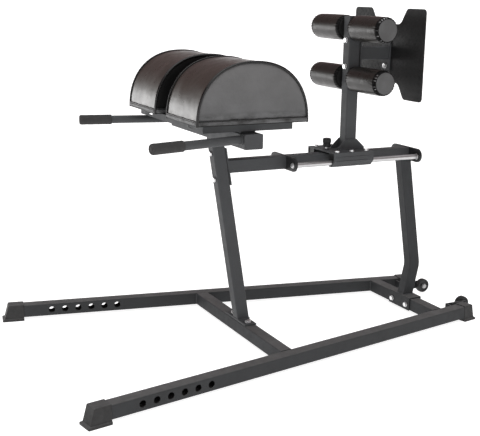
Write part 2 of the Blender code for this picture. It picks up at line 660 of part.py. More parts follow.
def rounded_outline(corners, steps=4):
    """Outline through (x, z, radius) corners, each one rounded by an arc-like curve."""
    points = []
    count = len(corners)
    for i, (x, z, radius) in enumerate(corners):
        here = Vector((x, z))
        before = Vector(corners[i - 1][:2]) - here
        after = Vector(corners[(i + 1) % count][:2]) - here
        start = here + before.normalized() * radius
        end = here + after.normalized() * radius
        for k in range(steps + 1):
            t = k / steps
            points.append(start * (1 - t) ** 2 + here * 2 * t * (1 - t) + end * t ** 2)
    return points


def build_foot_plate():
    """Bow-tie plate: two tall wings joined by a lower waist."""
    quarter = [(FOOT_WAIST_HALF, FOOT_WAIST_HEIGHT, 0.018), (FOOT_WING_INNER, FOOT_WING_HEIGHT, 0.012),
               (FOOT_WING_HALF, FOOT_WING_HEIGHT, 0.018)]
    mirrored = [(x, -z, radius) for x, z, radius in reversed(quarter)]
    right = quarter + mirrored
    left = [(-x, -z, radius) for x, z, radius in right]
    outline = rounded_outline(right + left)
    faces = (FOOT_PLATE_Y, FOOT_PLATE_Y + FOOT_PLATE_THICK)
    plate = loft("foot_plate", [[(x, y, FOOT_PLATE_Z + z) for x, z in outline] for y in faces], TREAD)
    for rise in (-ARM_BOLT_RISE, ARM_BOLT_RISE):
        z = ARM_Z + rise
        drill(plate, (0, FOOT_PLATE_Y - 0.02, z), (0, FOOT_PLATE_Y + 0.03, z), BOLT_RADIUS + GAP)


def build_rollers():
    half = (ROLLER_OUTER - ROLLER_INNER) / 2
    bore = SHAFT_RADIUS + 2 * GAP
    pocket = SHAFT_HALF + GAP * 2 - (ROLLER_INNER + half)
    round_over = 0.007
    for level, z in ROLLER_HEIGHTS.items():
        rod("roller_shaft_" + level, (-SHAFT_HALF, POST_Y, z), (SHAFT_HALF, POST_Y, z), SHAFT_RADIUS, ZINC, 24)
        for label, side in SIDES:
            profile = [(bore, pocket), (bore, -half), (ROLLER_RADIUS - round_over, -half),
                       (ROLLER_RADIUS, -half + round_over), (ROLLER_RADIUS, half - round_over),
                       (ROLLER_RADIUS - round_over, half)]
            centre = (side * (ROLLER_INNER + half), POST_Y, z)
            turned(f"roller_{level}_{label}", profile, centre, (side, 0, 0), VINYL, 32)


# ---------------------------------------------------------------- crossbar, handles and pad

def build_crossbar():
    """Flat tube across the front upright, with the riser that the pad tray stands on."""
    size = (CROSSBAR_DEPTH, CROSSBAR_HEIGHT)
    cap_depth = 0.004
    reach = CROSSBAR_HALF - cap_depth - GAP
    crossbar = tube("crossbar", (-reach, CROSSBAR_Y, CROSSBAR_Z), (reach, CROSSBAR_Y, CROSSBAR_Z),
                    (0, 1, 0), (0, 0, 1), size, PAINT)
    top = CROSSBAR_Z + CROSSBAR_HEIGHT / 2
    riser_top = TRAY_TOP - TRAY_SHEET - GAP
    riser_half = 0.028
    riser_reach = TRAY_HALF - 0.012
    join(crossbar, box("riser", (-riser_reach, CROSSBAR_Y - riser_half, top - 0.001),
                       (riser_reach, CROSSBAR_Y + riser_half, riser_top), PAINT))
    cut(crossbar, box("hollow", (-1.0, CROSSBAR_Y - riser_half + WALL, top + 0.002),
                      (1.0, CROSSBAR_Y + riser_half - WALL, riser_top - WALL), PAINT))
    plug = rounded_rectangle(CROSSBAR_DEPTH - 2 * WALL - 2 * GAP, CROSSBAR_HEIGHT - 2 * WALL - 2 * GAP, 0.0018)
    face = rounded_rectangle(*size)
    for label, side in SIDES:
        rings = [place(plug, (side * (reach - 0.012), CROSSBAR_Y, CROSSBAR_Z), (0, 1, 0), (0, 0, 1)),
                 place(plug, (side * (reach + GAP), CROSSBAR_Y, CROSSBAR_Z), (0, 1, 0), (0, 0, 1)),
                 place(face, (side * (reach + GAP), CROSSBAR_Y, CROSSBAR_Z), (0, 1, 0), (0, 0, 1)),
                 place(face, (side * CROSSBAR_HALF, CROSSBAR_Y, CROSSBAR_Z), (0, 1, 0), (0, 0, 1))]
        loft("crossbar_cap_" + label, rings, PAINT)


def build_handles():
    """Splayed round bars welded to the crossbar's front face, each with a rubber grip."""
    for label, side in SIDES:
        root = Vector((side * HANDLE_BASE_X, CROSSBAR_Y - CROSSBAR_DEPTH / 2 - GAP, HANDLE_Z))
        tip = Vector((side * HANDLE_TIP[0], HANDLE_TIP[1], HANDLE_Z))
        along = (tip - root).normalized()
        across = Vector((along.y, -along.x, 0.0))
        up = Vector((0, 0, 1))
        hollow = HANDLE_RADIUS - 0.0025

        def root_ring(radius):
            """The bar's end is cut to lie flat on the crossbar."""
            ring = []
            for point in place(circle(radius, 24), root, across, up):
                ring.append(point + along * ((root.y - point.y) / along.y))
            return ring

        end = tip - along * 0.006
        rings = [root_ring(HANDLE_RADIUS), place(circle(HANDLE_RADIUS, 24), end, across, up),
                 place(circle(hollow, 24), end, across, up), root_ring(hollow)]
        loft("handle_" + label, rings, PAINT, closed=True)
        bore = HANDLE_RADIUS + GAP
        open_end = tip - along * GRIP_LENGTH
        stations = [(bore, tip - along * (0.006 - GAP)), (bore, open_end), (GRIP_RADIUS - 0.001, open_end),
                    (GRIP_RADIUS, open_end + along * 0.002), (GRIP_RADIUS, tip - along * 0.004),
                    (GRIP_RADIUS - 0.004, tip)]
        loft("grip_" + label, [place(circle(radius, 24), centre, across, up)
                               for radius, centre in stations], GRIP)


def build_pad():
    """Folded sheet tray under two half-round pads."""
    tray = box("pad_tray", (-TRAY_HALF, TRAY_FRONT_Y, TRAY_BOTTOM), (TRAY_HALF, TRAY_REAR_Y, TRAY_TOP), PAINT)
    cut(tray, box("inside", (-TRAY_HALF + TRAY_SHEET, TRAY_FRONT_Y + TRAY_SHEET, TRAY_BOTTOM - 0.01),
                  (TRAY_HALF - TRAY_SHEET, TRAY_REAR_Y - TRAY_SHEET, TRAY_TOP - TRAY_SHEET), PAINT))
    for side in (-1, 1):
        x, z = side * SLOT_X, (TRAY_BOTTOM + TRAY_TOP) / 2
        cut(tray, box("slot", (x - 0.018, TRAY_FRONT_Y - 0.01, z - 0.0045),
                      (x + 0.018, TRAY_FRONT_Y + 0.01, z + 0.0045), PAINT))
    edge = 0.008
    steps = 28
    for label, side in SIDES:
        rings = []
        for x, shrink in ((PAD_INNER, edge), (PAD_INNER + edge, 0.0), (PAD_OUTER - edge, 0.0), (PAD_OUTER, edge)):
            ring = []
            for i in range(steps + 1):
                angle = math.pi * i / steps
                across = abs(math.cos(angle)) ** (2 / PAD_POWER) * math.copysign(1, math.cos(angle))
                rise = abs(math.sin(angle)) ** (2 / PAD_POWER)
                size = PAD_RADIUS - shrink
                ring.append((side * x, PAD_MID_Y + across * size, PAD_BOTTOM + 0.004 + rise * (size - 0.004)))
            foot = PAD_RADIUS - shrink - 0.004
            ring += [(side * x, PAD_MID_Y - foot, PAD_BOTTOM), (side * x, PAD_MID_Y + foot, PAD_BOTTOM)]
            rings.append(ring)
        loft("pad_" + label, rings, VINYL)


def main():
    clear_scene()
    build_base()
    build_front_upright()
    build_rear_upright()
    build_beam()
    build_rods()
    build_carriage()
    build_plunger()
    build_post()
    build_foot_arm()
    build_foot_plate()
    build_rollers()
    build_crossbar()
    build_handles()
    build_pad()


main()
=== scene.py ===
"""Roman chair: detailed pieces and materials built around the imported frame."""
import json
import math

import bmesh
import bpy
from mathutils import Matrix, Vector, noise


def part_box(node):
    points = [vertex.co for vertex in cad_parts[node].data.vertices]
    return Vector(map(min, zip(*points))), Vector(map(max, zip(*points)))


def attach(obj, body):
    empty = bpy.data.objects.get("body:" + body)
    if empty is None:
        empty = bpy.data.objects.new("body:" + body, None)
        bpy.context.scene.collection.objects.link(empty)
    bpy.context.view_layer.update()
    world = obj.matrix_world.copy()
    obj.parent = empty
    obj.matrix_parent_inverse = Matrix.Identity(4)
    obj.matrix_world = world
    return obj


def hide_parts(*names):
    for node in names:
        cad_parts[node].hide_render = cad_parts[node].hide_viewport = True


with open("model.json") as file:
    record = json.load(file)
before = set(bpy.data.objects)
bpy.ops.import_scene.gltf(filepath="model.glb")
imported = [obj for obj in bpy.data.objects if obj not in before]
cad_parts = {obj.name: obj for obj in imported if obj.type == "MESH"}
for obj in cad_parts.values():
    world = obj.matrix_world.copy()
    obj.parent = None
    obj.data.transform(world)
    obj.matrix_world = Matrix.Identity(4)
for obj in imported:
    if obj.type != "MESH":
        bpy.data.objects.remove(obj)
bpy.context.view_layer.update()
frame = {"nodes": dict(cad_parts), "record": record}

# Lengths are in metres; X is across the machine, Y runs to its rear and Z is up.
SIDES = (("left", -1.0), ("right", 1.0))
X, Y, Z = Vector((1, 0, 0)), Vector((0, 1, 0)), Vector((0, 0, 1))
BODY_OF = {node: body for body, names in frame["record"]["behaviour"]["bodies"].items() for node in names}

CAMERA_PLACE = (3.1294, -1.688, 1.3013)
CAMERA_DEGREES = (63.163, 13.367, 0.934)        # azimuth, elevation and roll
BRIGHTEST_SKY = 1.4
FLOOR_REACH, FLOOR_CORNERS = 60.0, 64

PAD_MID_Y, PAD_RADIUS, PAD_BOTTOM = -0.22, 0.210, 0.866
PAD_POWER = 2.25                                # a little squarer than a half circle
PAD_IN, PAD_OUT = 0.0545, 0.3135                # the right pad's inner and outer end
PAD_SHRINK = 0.0016                             # room left for the covers' own thickness
PAD_VOXEL, PAD_PRESSURE, PAD_BULGE = 0.0055, 4.0, 0.009
HEM_HEIGHT = 0.0175
SEAM_Z = PAD_BOTTOM + HEM_HEIGHT
PAD_END_FACING = 0.80                           # faces turned this far to the side belong to an end panel

ROLLER_RADIUS, ROLLER_IN, ROLLER_OUT = 0.048, 0.030, 0.234
ROLLER_HALF = (ROLLER_OUT - ROLLER_IN) / 2
ROLLER_Y = 0.3595
ROLLER_LEVELS = (("upper", 1.170), ("lower", 0.979))
ROLLER_SHOULDER, ROLLER_MOUTH = 0.0190, 0.0412  # length of the rounded end; its radius at the disc
ROLLER_LIP = 0.0402
PLEATS = 26

PLATE_FRONT, PLATE_THICK, PLATE_MID_Z = 0.526, 0.005, 1.074
GRIP_LENGTH = 0.122
HANDLE_ROOT, HANDLE_TIP = (0.291, -0.2563, 0.814), (0.373, -0.612, 0.814)
KNOB_BASE, KNOB_LOBES = 0.7165, 7
WHEEL_CENTRE, WHEEL_HALF = (0.135, 0.874, 0.037), 0.012


# ---------------------------------------------------------------- camera, light and floor

def make_camera():
    azimuth, elevation, roll = (math.radians(v) for v in CAMERA_DEGREES)
    ahead = Vector((-math.sin(azimuth) * math.cos(elevation), math.cos(azimuth) * math.cos(elevation),
                    -math.sin(elevation)))
    right = Vector((math.cos(azimuth), math.sin(azimuth), 0))
    up = right.cross(ahead)
    right_rolled = math.cos(roll) * right + math.sin(roll) * up
    up_rolled = math.cos(roll) * up - math.sin(roll) * right
    turn = Matrix((right_rolled, up_rolled, -ahead)).transposed().to_4x4()
    turn.translation = Vector(CAMERA_PLACE)
    data = bpy.data.cameras.new("camera")
    data.sensor_width = 36
    data.lens = 71.49
    data.shift_x = -0.0019
    data.shift_y = -0.0014
    data.clip_end = 500
    camera = bpy.data.objects.new("camera", data)
    camera.matrix_world = turn
    bpy.context.scene.collection.objects.link(camera)
    bpy.context.scene.camera = camera


def make_world():
    """A white studio: bright below and round the horizon, dim and slightly warm above it.

    The stops run from straight down at 0 to straight up at 1.
    """
    world = bpy.data.worlds.new("studio")
    bpy.context.scene.world = world
    world.use_nodes = True
    nodes, links = world.node_tree.nodes, world.node_tree.links
    coords = nodes.new("ShaderNodeTexCoord")
    split = nodes.new("ShaderNodeSeparateXYZ")
    ramp = nodes.new("ShaderNodeValToRGB")
    shift = nodes.new("ShaderNodeMapRange")
    shift.inputs["From Min"].default_value = -1.0
    shift.inputs["From Max"].default_value = 1.0
    stops = ((0.0, (1.3, 1.3, 1.3)), (0.535, (1.4, 1.4, 1.4)), (0.585, (0.50, 0.47, 0.46)),
             (0.64, (0.21, 0.145, 0.143)), (0.78, (0.195, 0.135, 0.137)), (0.90, (0.36, 0.35, 0.36)),
             (1.0, (0.50, 0.51, 0.53)))
    elements = ramp.color_ramp.elements
    while len(elements) < len(stops):
        elements.new(0.5)
    for element, (place, colour) in zip(elements, stops):
        element.position = place
        element.color = [c / BRIGHTEST_SKY for c in colour] + [1.0]
    background = nodes["Background"]
    background.inputs["Strength"].default_value = BRIGHTEST_SKY
    links.new(coords.outputs["Generated"], split.inputs[0])
    links.new(split.outputs["Z"], shift.inputs["Value"])
    links.new(shift.outputs["Result"], ramp.inputs["Fac"])
    links.new(ramp.outputs["Color"], background.inputs["Color"])


def make_lights():
    """A wide lamp overhead and two softboxes."""
    sun = bpy.data.lights.new("overhead", "SUN")
    sun.energy = 1.9
    sun.angle = math.radians(75)
    made = bpy.data.objects.new("overhead", sun)
    made.rotation_euler = (math.radians(8), math.radians(10), 0)
    bpy.context.scene.collection.objects.link(made)

    def softbox(name, place, target, size, power):
        light = bpy.data.lights.new(name, "AREA")
        light.shape = "RECTANGLE"
        light.size, light.size_y = size
        light.energy = power
        lamp = bpy.data.objects.new(name, light)
        lamp.location = place
        lamp.rotation_euler = (Vector(place) - Vector(target)).to_track_quat("Z", "Y").to_euler()
        bpy.context.scene.collection.objects.link(lamp)

    softbox("front_low", (-3.4, -2.5, 0.62), (0.0, -0.3, 0.95), (2.6, 1.3), 26)
    softbox("side", (3.6, -0.8, 1.9), (0.2, -0.1, 0.8), (1.6, 1.6), 10)


def make_floor():
    """A wide pale disc just under the soles."""
    mesh = bmesh.new()
    mesh.faces.new([mesh.verts.new((x, y, 0.0)) for x, y in circle(FLOOR_REACH, FLOOR_CORNERS)])
    data = bpy.data.meshes.new("floor")
    mesh.to_mesh(data)
    mesh.free()
    floor = bpy.data.objects.new("floor", data)
    material = bpy.data.materials.new("pale floor")
    material.use_nodes = True
    shader = material.node_tree.nodes["Principled BSDF"]
    shader.inputs["Base Color"].default_value = (0.60, 0.60, 0.60, 1)
    shader.inputs["Roughness"].default_value = 0.7
    shader.inputs["Specular IOR Level"].default_value = 0.1
    shader.inputs["Emission Color"].default_value = (1, 1, 1, 1)
    shader.inputs["Emission Strength"].default_value = 0.88
    data.materials.append(material)
    bpy.context.scene.collection.objects.link(floor)
    floor.location.z = -0.0005


# ---------------------------------------------------------------- materials

class Finish:
    """A procedural material put together step by step on object coordinates."""

    def __init__(self, name, **sockets):
        self.material = bpy.data.materials.new(name)
        self.material.use_nodes = True
        self.nodes, self.links = self.material.node_tree.nodes, self.material.node_tree.links
        self.shader = self.nodes["Principled BSDF"]
        self.source = self.nodes.new("ShaderNodeTexCoord")
        self.coords = self.source.outputs["Object"]
        self.normal = None
        for socket, value in sockets.items():
            self.shader.inputs[socket.replace("_", " ")].default_value = value

    def stretched(self, scale):
        mapping = self.nodes.new("ShaderNodeMapping")
        mapping.inputs["Scale"].default_value = scale
        self.links.new(self.coords, mapping.inputs["Vector"])
        return mapping.outputs["Vector"]

    def noise(self, scale, detail=3.0, roughness=0.55, vector=None):
        node = self.nodes.new("ShaderNodeTexNoise")
        node.inputs["Scale"].default_value = scale
        node.inputs["Detail"].default_value = detail
        node.inputs["Roughness"].default_value = roughness
        self.links.new(vector or self.coords, node.inputs["Vector"])
        return node.outputs["Fac"]

    def cells(self, scale, feature="DISTANCE_TO_EDGE"):
        node = self.nodes.new("ShaderNodeTexVoronoi")
        node.feature = feature
        node.inputs["Scale"].default_value = scale
        self.links.new(self.coords, node.inputs["Vector"])
        return node.outputs["Distance"]

    def spread(self, value, low, high, start=0.3, end=0.7):
        node = self.nodes.new("ShaderNodeMapRange")
        node.inputs["From Min"].default_value = start
        node.inputs["From Max"].default_value = end
        node.inputs["To Min"].default_value = low
        node.inputs["To Max"].default_value = high
        self.links.new(value, node.inputs["Value"])
        return node.outputs["Result"]

    def facing_up(self):
        """One on faces that look upwards, zero on upright and hanging ones."""
        split = self.nodes.new("ShaderNodeSeparateXYZ")
        self.links.new(self.source.outputs["Normal"], split.inputs[0])
        return self.spread(split.outputs["Z"], 0.0, 1.0, 0.55, 0.97)

    def dusted_and_top_lit(self, colour, tone, dust_and_top_light):
        """Lightens the faces that look upwards: partly settled dust, partly painted top light."""
        patches = self.noise(24.0, 5.0, 0.6)
        thin, thick = grey(tone * (1 + 0.75 * dust_and_top_light)), grey(tone * (1 + 1.25 * dust_and_top_light))
        return self.mix(self.facing_up(), colour, self.colours(patches, ((0.3, thin), (0.7, thick))))

    def colours(self, value, stops):
        ramp = self.nodes.new("ShaderNodeValToRGB")
        elements = ramp.color_ramp.elements
        while len(elements) < len(stops):
            elements.new(0.5)
        for element, (place, colour) in zip(elements, stops):
            element.position = place
            element.color = (*colour, 1.0)
        self.links.new(value, ramp.inputs["Fac"])
        return ramp.outputs["Color"]

    def mix(self, share, first, second):
        node = self.nodes.new("ShaderNodeMix")
        node.data_type = "RGBA"
        if isinstance(share, float):
            node.inputs[0].default_value = share
        else:
            self.links.new(share, node.inputs[0])
        self.links.new(first, node.inputs[6])
        self.links.new(second, node.inputs[7])
        return node.outputs[2]

    def bump(self, height, strength, distance):
        node = self.nodes.new("ShaderNodeBump")
        node.inputs["Strength"].default_value = strength
        node.inputs["Distance"].default_value = distance
        self.links.new(height, node.inputs["Height"])
        if self.normal is not None:
            self.links.new(self.normal, node.inputs["Normal"])
        self.normal = node.outputs["Normal"]

    def paint(self, colour):
        self.links.new(colour, self.shader.inputs["Base Color"])

    def rough(self, value):
        self.links.new(value, self.shader.inputs["Roughness"])

    def done(self):
        if self.normal is not None:
            self.links.new(self.normal, self.shader.inputs["Normal"])
        return self.material


def grey(value, warm=0.0):
    """A grey that leans to red, or to blue when warm is negative."""
    return (value * (1 + warm), value, value * (1 - warm))


def powder_coat(name, tone, roughness=0.54, gloss=0.26, dust_and_top_light=0.0):
    """Fine orange-peel powder coat; the dust setting lightens its upward faces, partly as dust and partly as painted
    top light.
    """
    made = Finish(name, Specular_IOR_Level=gloss)
    slow = made.noise(7.0, 4.0)
    grain = made.noise(1500.0, 2.0)
    body = made.colours(slow, ((0.3, grey(tone * 0.86, -0.03)), (0.7, grey(tone * 1.14, -0.06))))
    specks = made.colours(grain, ((0.35, grey(tone * 0.78, -0.03)), (0.66, grey(tone * 1.32, -0.05))))
    painted = made.mix(0.38, body, specks)
    # upward faces lightened, partly by dust and partly by painted top light
    made.paint(made.dusted_and_top_lit(painted, tone, dust_and_top_light) if dust_and_top_light else painted)
    made.rough(made.spread(made.noise(38.0, 5.0), roughness - 0.06, roughness + 0.08))
    made.bump(made.noise(640.0, 2.0), 0.30, 0.0004)
    made.bump(grain, 0.22, 0.0002)
    return made.done()


def end_panel_painted_light(made, painted, slow, tone, lift):
    """Painted light: paler towards the panel's top, and painted shade in dark patches in the gathers above the
    foot's seam.
    """
    height = made.nodes.new("ShaderNodeSeparateXYZ")
    made.links.new(made.coords, height.inputs[0])
    # painted light: paler towards the top
    share = made.spread(height.outputs["Z"], 0.0, 1.0, PAD_BOTTOM, PAD_BOTTOM + PAD_RADIUS)
    blotch = made.noise(15.0, 5.0, 0.6)
    pale = made.colours(blotch, ((0.3, grey(tone * (1 + lift))), (0.72, grey(tone * (1 + 2.2 * lift)))))
    painted = made.mix(share, painted, pale)
    # painted shade in the gathers just above the seam
    seam_shade = made.spread(height.outputs["Z"], 1.0, 0.0, SEAM_Z + 0.003, SEAM_Z + 0.030)
    patch = made.spread(made.noise(1.0, 3.0, 0.6, made.stretched((4.0, 17.0, 40.0))), 0.0, 1.0, 0.42, 0.62)
    both = made.nodes.new("ShaderNodeMath")
    both.operation = "MULTIPLY"
    made.links.new(seam_shade, both.inputs[0])
    made.links.new(patch, both.inputs[1])
    dark = made.colours(slow, ((0.3, grey(tone * 0.22)), (0.72, grey(tone * 0.34))))
    return made.mix(both.outputs[0], painted, dark)


def vinyl(name, tone, roughness, coat, wrinkle, gloss=0.58, marks=1.0, warm=0.0, pebbles=0.10, lift=0.0):
    """Upholstery vinyl: pebbled grain, soft wrinkles and handling marks, and on an end panel painted light and shade
    when lift is given.
    """
    made = Finish(name, Coat_Weight=coat, Coat_Roughness=0.25, Specular_IOR_Level=gloss)
    slow = made.noise(9.0, 4.0)
    pebble = made.cells(620.0)
    low, high = grey(tone * (1 - 0.18 * marks), warm), grey(tone * (1 + 0.22 * marks), warm)
    body = made.colours(slow, ((0.3, low), (0.72, high)))
    pores = made.colours(pebble, ((0.0, grey(tone * 0.45)), (0.12, grey(tone * 1.1))))
    painted = made.mix(0.35, body, pores)
    # lift adds painted light towards the top and painted shade above the seam
    made.paint(end_panel_painted_light(made, painted, slow, tone, lift) if lift else painted)
    made.rough(made.spread(made.noise(26.0, 6.0, 0.62), roughness - 0.07, roughness + 0.10))
    made.bump(made.noise(20.0, 3.0, 0.45), wrinkle, 0.004)
    made.bump(made.noise(110.0, 3.0), pebbles * 0.5, 0.0015)
    made.bump(made.spread(pebble, 0.0, 1.0, 0.0, 0.14), pebbles, 0.00018)
    return made.done()


def rubber(name, tone):
    """Dull moulded rubber, lightened on its upper faces by dust and painted top light."""
    made = Finish(name, Specular_IOR_Level=0.25)
    body = made.colours(made.noise(30.0, 5.0), ((0.3, grey(tone * 0.8)), (0.72, grey(tone * 1.3))))
    # upper faces lightened by dust and painted top light
    made.paint(made.dusted_and_top_lit(body, tone, 1.6))
    made.rough(made.spread(made.noise(70.0, 4.0), 0.54, 0.74))
    made.bump(made.noise(900.0, 2.0), 0.25, 0.00025)
    made.bump(made.noise(60.0, 3.0), 0.12, 0.0010)
    return made.done()


def foam_rubber(name, tone):
    """Closed-cell foam grip with fine pores."""
    made = Finish(name, Specular_IOR_Level=0.28)
    pores = made.cells(1300.0, "F1")
    slow = made.colours(made.noise(22.0, 5.0), ((0.3, grey(tone * 0.85)), (0.7, grey(tone * 1.2))))
    dots = made.colours(pores, ((0.1, grey(tone * 0.5)), (0.4, grey(tone * 1.15))))
    made.paint(made.mix(0.45, slow, dots))
    made.rough(made.spread(made.noise(90.0), 0.70, 0.86))
    made.bump(pores, 0.35, 0.0003)
    return made.done()


def plated(name, tone, roughness, scratch):
    """Bright plating with faint rub marks."""
    made = Finish(name, Metallic=1.0)
    cloud = made.noise(55.0, 5.0)
    made.paint(made.colours(cloud, ((0.3, grey(tone * 0.9, -0.01)), (0.7, grey(min(tone * 1.06, 0.95))))))
    made.rough(made.spread(made.noise(160.0, 5.0), roughness - 0.04, roughness + 0.07))
    made.bump(made.noise(500.0, 3.0, vector=made.stretched((1.0, 0.06, 1.0))), scratch, 0.0002)
    return made.done()


def tread_paint(name, tone):
    """Satin paint with scuffs, for the foot plate."""
    made = Finish(name, Specular_IOR_Level=0.17)
    slow = made.noise(5.5, 4.0)
    worn = made.noise(140.0, 5.0, 0.6)
    body = made.colours(slow, ((0.3, grey(tone * 0.75)), (0.7, grey(tone * 1.35))))
    scuffs = made.colours(worn, ((0.45, grey(tone)), (0.75, grey(tone * 1.8))))
    made.paint(made.mix(0.30, body, scuffs))
    made.rough(made.spread(made.noise(48.0, 5.0), 0.38, 0.52))
    made.bump(made.noise(700.0, 2.0), 0.25, 0.0003)
    return made.done()


def moulded(name, tone, roughness):
    """Moulded plastic with a fine texture."""
    made = Finish(name, Specular_IOR_Level=0.28)
    made.paint(made.colours(made.noise(16.0, 4.0), ((0.3, grey(tone * 0.85)), (0.7, grey(tone * 1.15, -0.01)))))
    made.rough(made.spread(made.noise(120.0, 3.0), roughness - 0.05, roughness + 0.07))
    made.bump(made.noise(1100.0, 2.0), 0.18, 0.0002)
    return made.done()


# Each look's material.
MATERIALS = {
    "paint": powder_coat("charcoal_powder_coat_fine", 0.056, gloss=0.20),
    # darker copy of the frame paint for the low parts: painted shade; its dust setting also paints top light
    "paint_low_shaded": powder_coat("charcoal_powder_coat_base", 0.035, 0.56, 0.14, 1.65),
    "black_paint": powder_coat("black_powder_coat_fine", 0.016, 0.46),
    "pad": vinyl("pad_vinyl", 0.015, 0.32, 0.30, 0.07, warm=0.42),
    # end vinyl with lift: painted light towards the top and painted shade above the seam
    "pad_end": vinyl("pad_end_vinyl", 0.082, 0.46, 0.05, 1.0, gloss=0.34, marks=1.7, warm=-0.03, lift=0.26),
    # near-black copy of the end vinyl for the inner ends: painted shade between the pads
    "pad_inner_shaded": vinyl("pad_inner_shaded_vinyl", 0.004, 0.50, 0.0, 0.3, gloss=0.12, pebbles=0.05),
    "piping": vinyl("binding_vinyl", 0.003, 0.27, 0.0, 0.10, gloss=0.42),
    "roller": vinyl("roller_vinyl", 0.012, 0.30, 0.05, 0.03, gloss=0.36, warm=0.24, pebbles=0.02),
    # near-black copy of the roller vinyl for the gathered ends: painted shade in the gathers
    "roller_end_shaded": vinyl("roller_gathers_shaded_vinyl", 0.002, 0.42, 0.0, 0.1, gloss=0.10, pebbles=0.03),
    # pale glossy copy for chosen fold crests: painted highlight
    "roller_fold_highlight": vinyl("roller_fold_highlight_vinyl", 0.13, 0.12, 1.0, 0.1, gloss=1.0, pebbles=0.02),
    "disc": moulded("end_disc_plastic", 0.076, 0.55),
    # near black: painted shade in the gap under the hems and on the rollers' inner discs
    "board": moulded("near_black_shade_laminate", 0.006, 0.6),
    "weld": powder_coat("charcoal_powder_coat_weld", 0.066, 0.46),
    "grip": foam_rubber("grip_foam", 0.034),
    "boot": rubber("boot_rubber", 0.028),
    "wheel": moulded("wheel_plastic", 0.018, 0.38),
    "plastic": moulded("black_plastic_moulded", 0.012, 0.42),
    "chrome": plated("chrome_plate", 0.49, 0.32, 0.010),
    "zinc": plated("zinc_plate_bright", 0.80, 0.28, 0.10),
    "steel": plated("turned_steel", 0.62, 0.26, 0.12),
    "dull_zinc": plated("zinc_plate_dull", 0.36, 0.44, 0.14),
    "tread": tread_paint("tread_plate_paint", 0.011),
}


# ---------------------------------------------------------------- mesh helpers

def ring(outline, centre, u_axis, v_axis):
    """Lay a flat outline in space."""
    return [Vector(centre) + u * Vector(u_axis) + v * Vector(v_axis) for u, v in outline]


def circle(radius, count=32):
    return [(radius * math.cos(math.tau * i / count), radius * math.sin(math.tau * i / count))
            for i in range(count)]


def hexagon(flat_radius, limit, count=48):
    """Hexagon outline with its corners cut off at the limit radius."""
    points = []
    for i in range(count):
        angle = math.tau * i / count
        reach = flat_radius / math.cos((angle + math.pi / 6) % (math.pi / 3) - math.pi / 6)
        reach = min(reach, limit)
        points.append((reach * math.cos(angle), reach * math.sin(angle)))
    return points


def skin(rings, closed=False, mesh=None):
    """Quads between equal rings; an open run gets a face on each end."""
    mesh = mesh or bmesh.new()
    rows = [[mesh.verts.new(point) for point in points] for points in rings]
    pairs = list(zip(rows, rows[1:]))
    if closed:
        pairs.append((rows[-1], rows[0]))
    else:
        mesh.faces.new(rows[0])
        mesh.faces.new(rows[-1])
    for low, high in pairs:
        for i in range(len(low)):
            j = (i + 1) % len(low)
            mesh.faces.new((low[i], low[j], high[j], high[i]))
    return mesh


def across_axes(axis):
    """The unit axis with two directions square to it."""
    along = Vector(axis).normalized()
    helper = Z if abs(along.z) < 0.8 else X
    across = along.cross(helper).normalized()
    return along, across, along.cross(across)


def turned(stations, centre, axis, count=48, mesh=None, closed=False):
    """Rings of (outline or radius, distance) stations along an axis."""
    along, across, up = across_axes(axis)
    rings = []
    for outline, distance in stations:
        if isinstance(outline, float):
            outline = circle(outline, count)
        rings.append(ring(outline, Vector(centre) + distance * along, across, up))
    return skin(rings, closed=closed, mesh=mesh)


def sweep(points, outline, closed=False, mesh=None, up=Z):
    """Carry an outline along a path; the outline is (sideways, up) pairs or a function of the index."""
    count = len(points)
    rings = []
    for i, point in enumerate(points):
        before = points[i - 1] if closed or i else point
        after = points[(i + 1) % count] if closed or i < count - 1 else point
        along = (Vector(after) - Vector(before)).normalized()
        side = along.cross(up).normalized()
        top = side.cross(along)
        shape = outline(i) if callable(outline) else outline
        rings.append(ring(shape, point, side, top))
    return skin(rings, closed=closed, mesh=mesh)


def finish(mesh, name, look, body, stands_for=(), sharp=38, weighted=True):
    """Turn a bmesh into a named piece that rides on a body."""
    bmesh.ops.remove_doubles(mesh, verts=mesh.verts, dist=1e-6)
    bmesh.ops.recalc_face_normals(mesh, faces=mesh.faces)
    data = bpy.data.meshes.new(name)
    mesh.to_mesh(data)
    mesh.free()
    data.shade_smooth()
    data.set_sharp_from_angle(angle=math.radians(sharp))
    made = bpy.data.objects.new(name, data)
    bpy.context.scene.collection.objects.link(made)
    data.materials.append(MATERIALS[look])
    if weighted:
        made.modifiers.new("normals", "WEIGHTED_NORMAL").keep_sharp = True
    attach(made, body)
    if stands_for:
        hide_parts(*stands_for)
    return made


def refined(node, look, bevel=0.0009, segments=3):
    """A copy of a CAD node with its coplanar triangles merged and its sharp edges rounded."""
    mesh = bmesh.new()
    mesh.from_mesh(frame["nodes"][node].data)
    bmesh.ops.remove_doubles(mesh, verts=mesh.verts, dist=2e-5)
    bmesh.ops.dissolve_limit(mesh, angle_limit=math.radians(0.6), verts=mesh.verts, edges=mesh.edges)
    edges = [e for e in mesh.edges if len(e.link_faces) == 2 and e.calc_face_angle(0) > math.radians(28)]
    if bevel:
        bmesh.ops.bevel(mesh, geom=edges, offset=bevel, segments=segments, profile=0.5, affect="EDGES",
                        clamp_overlap=True)
    finish(mesh, node + "_shell", look, BODY_OF[node], [node], sharp=42)


# ---------------------------------------------------------------- fasteners

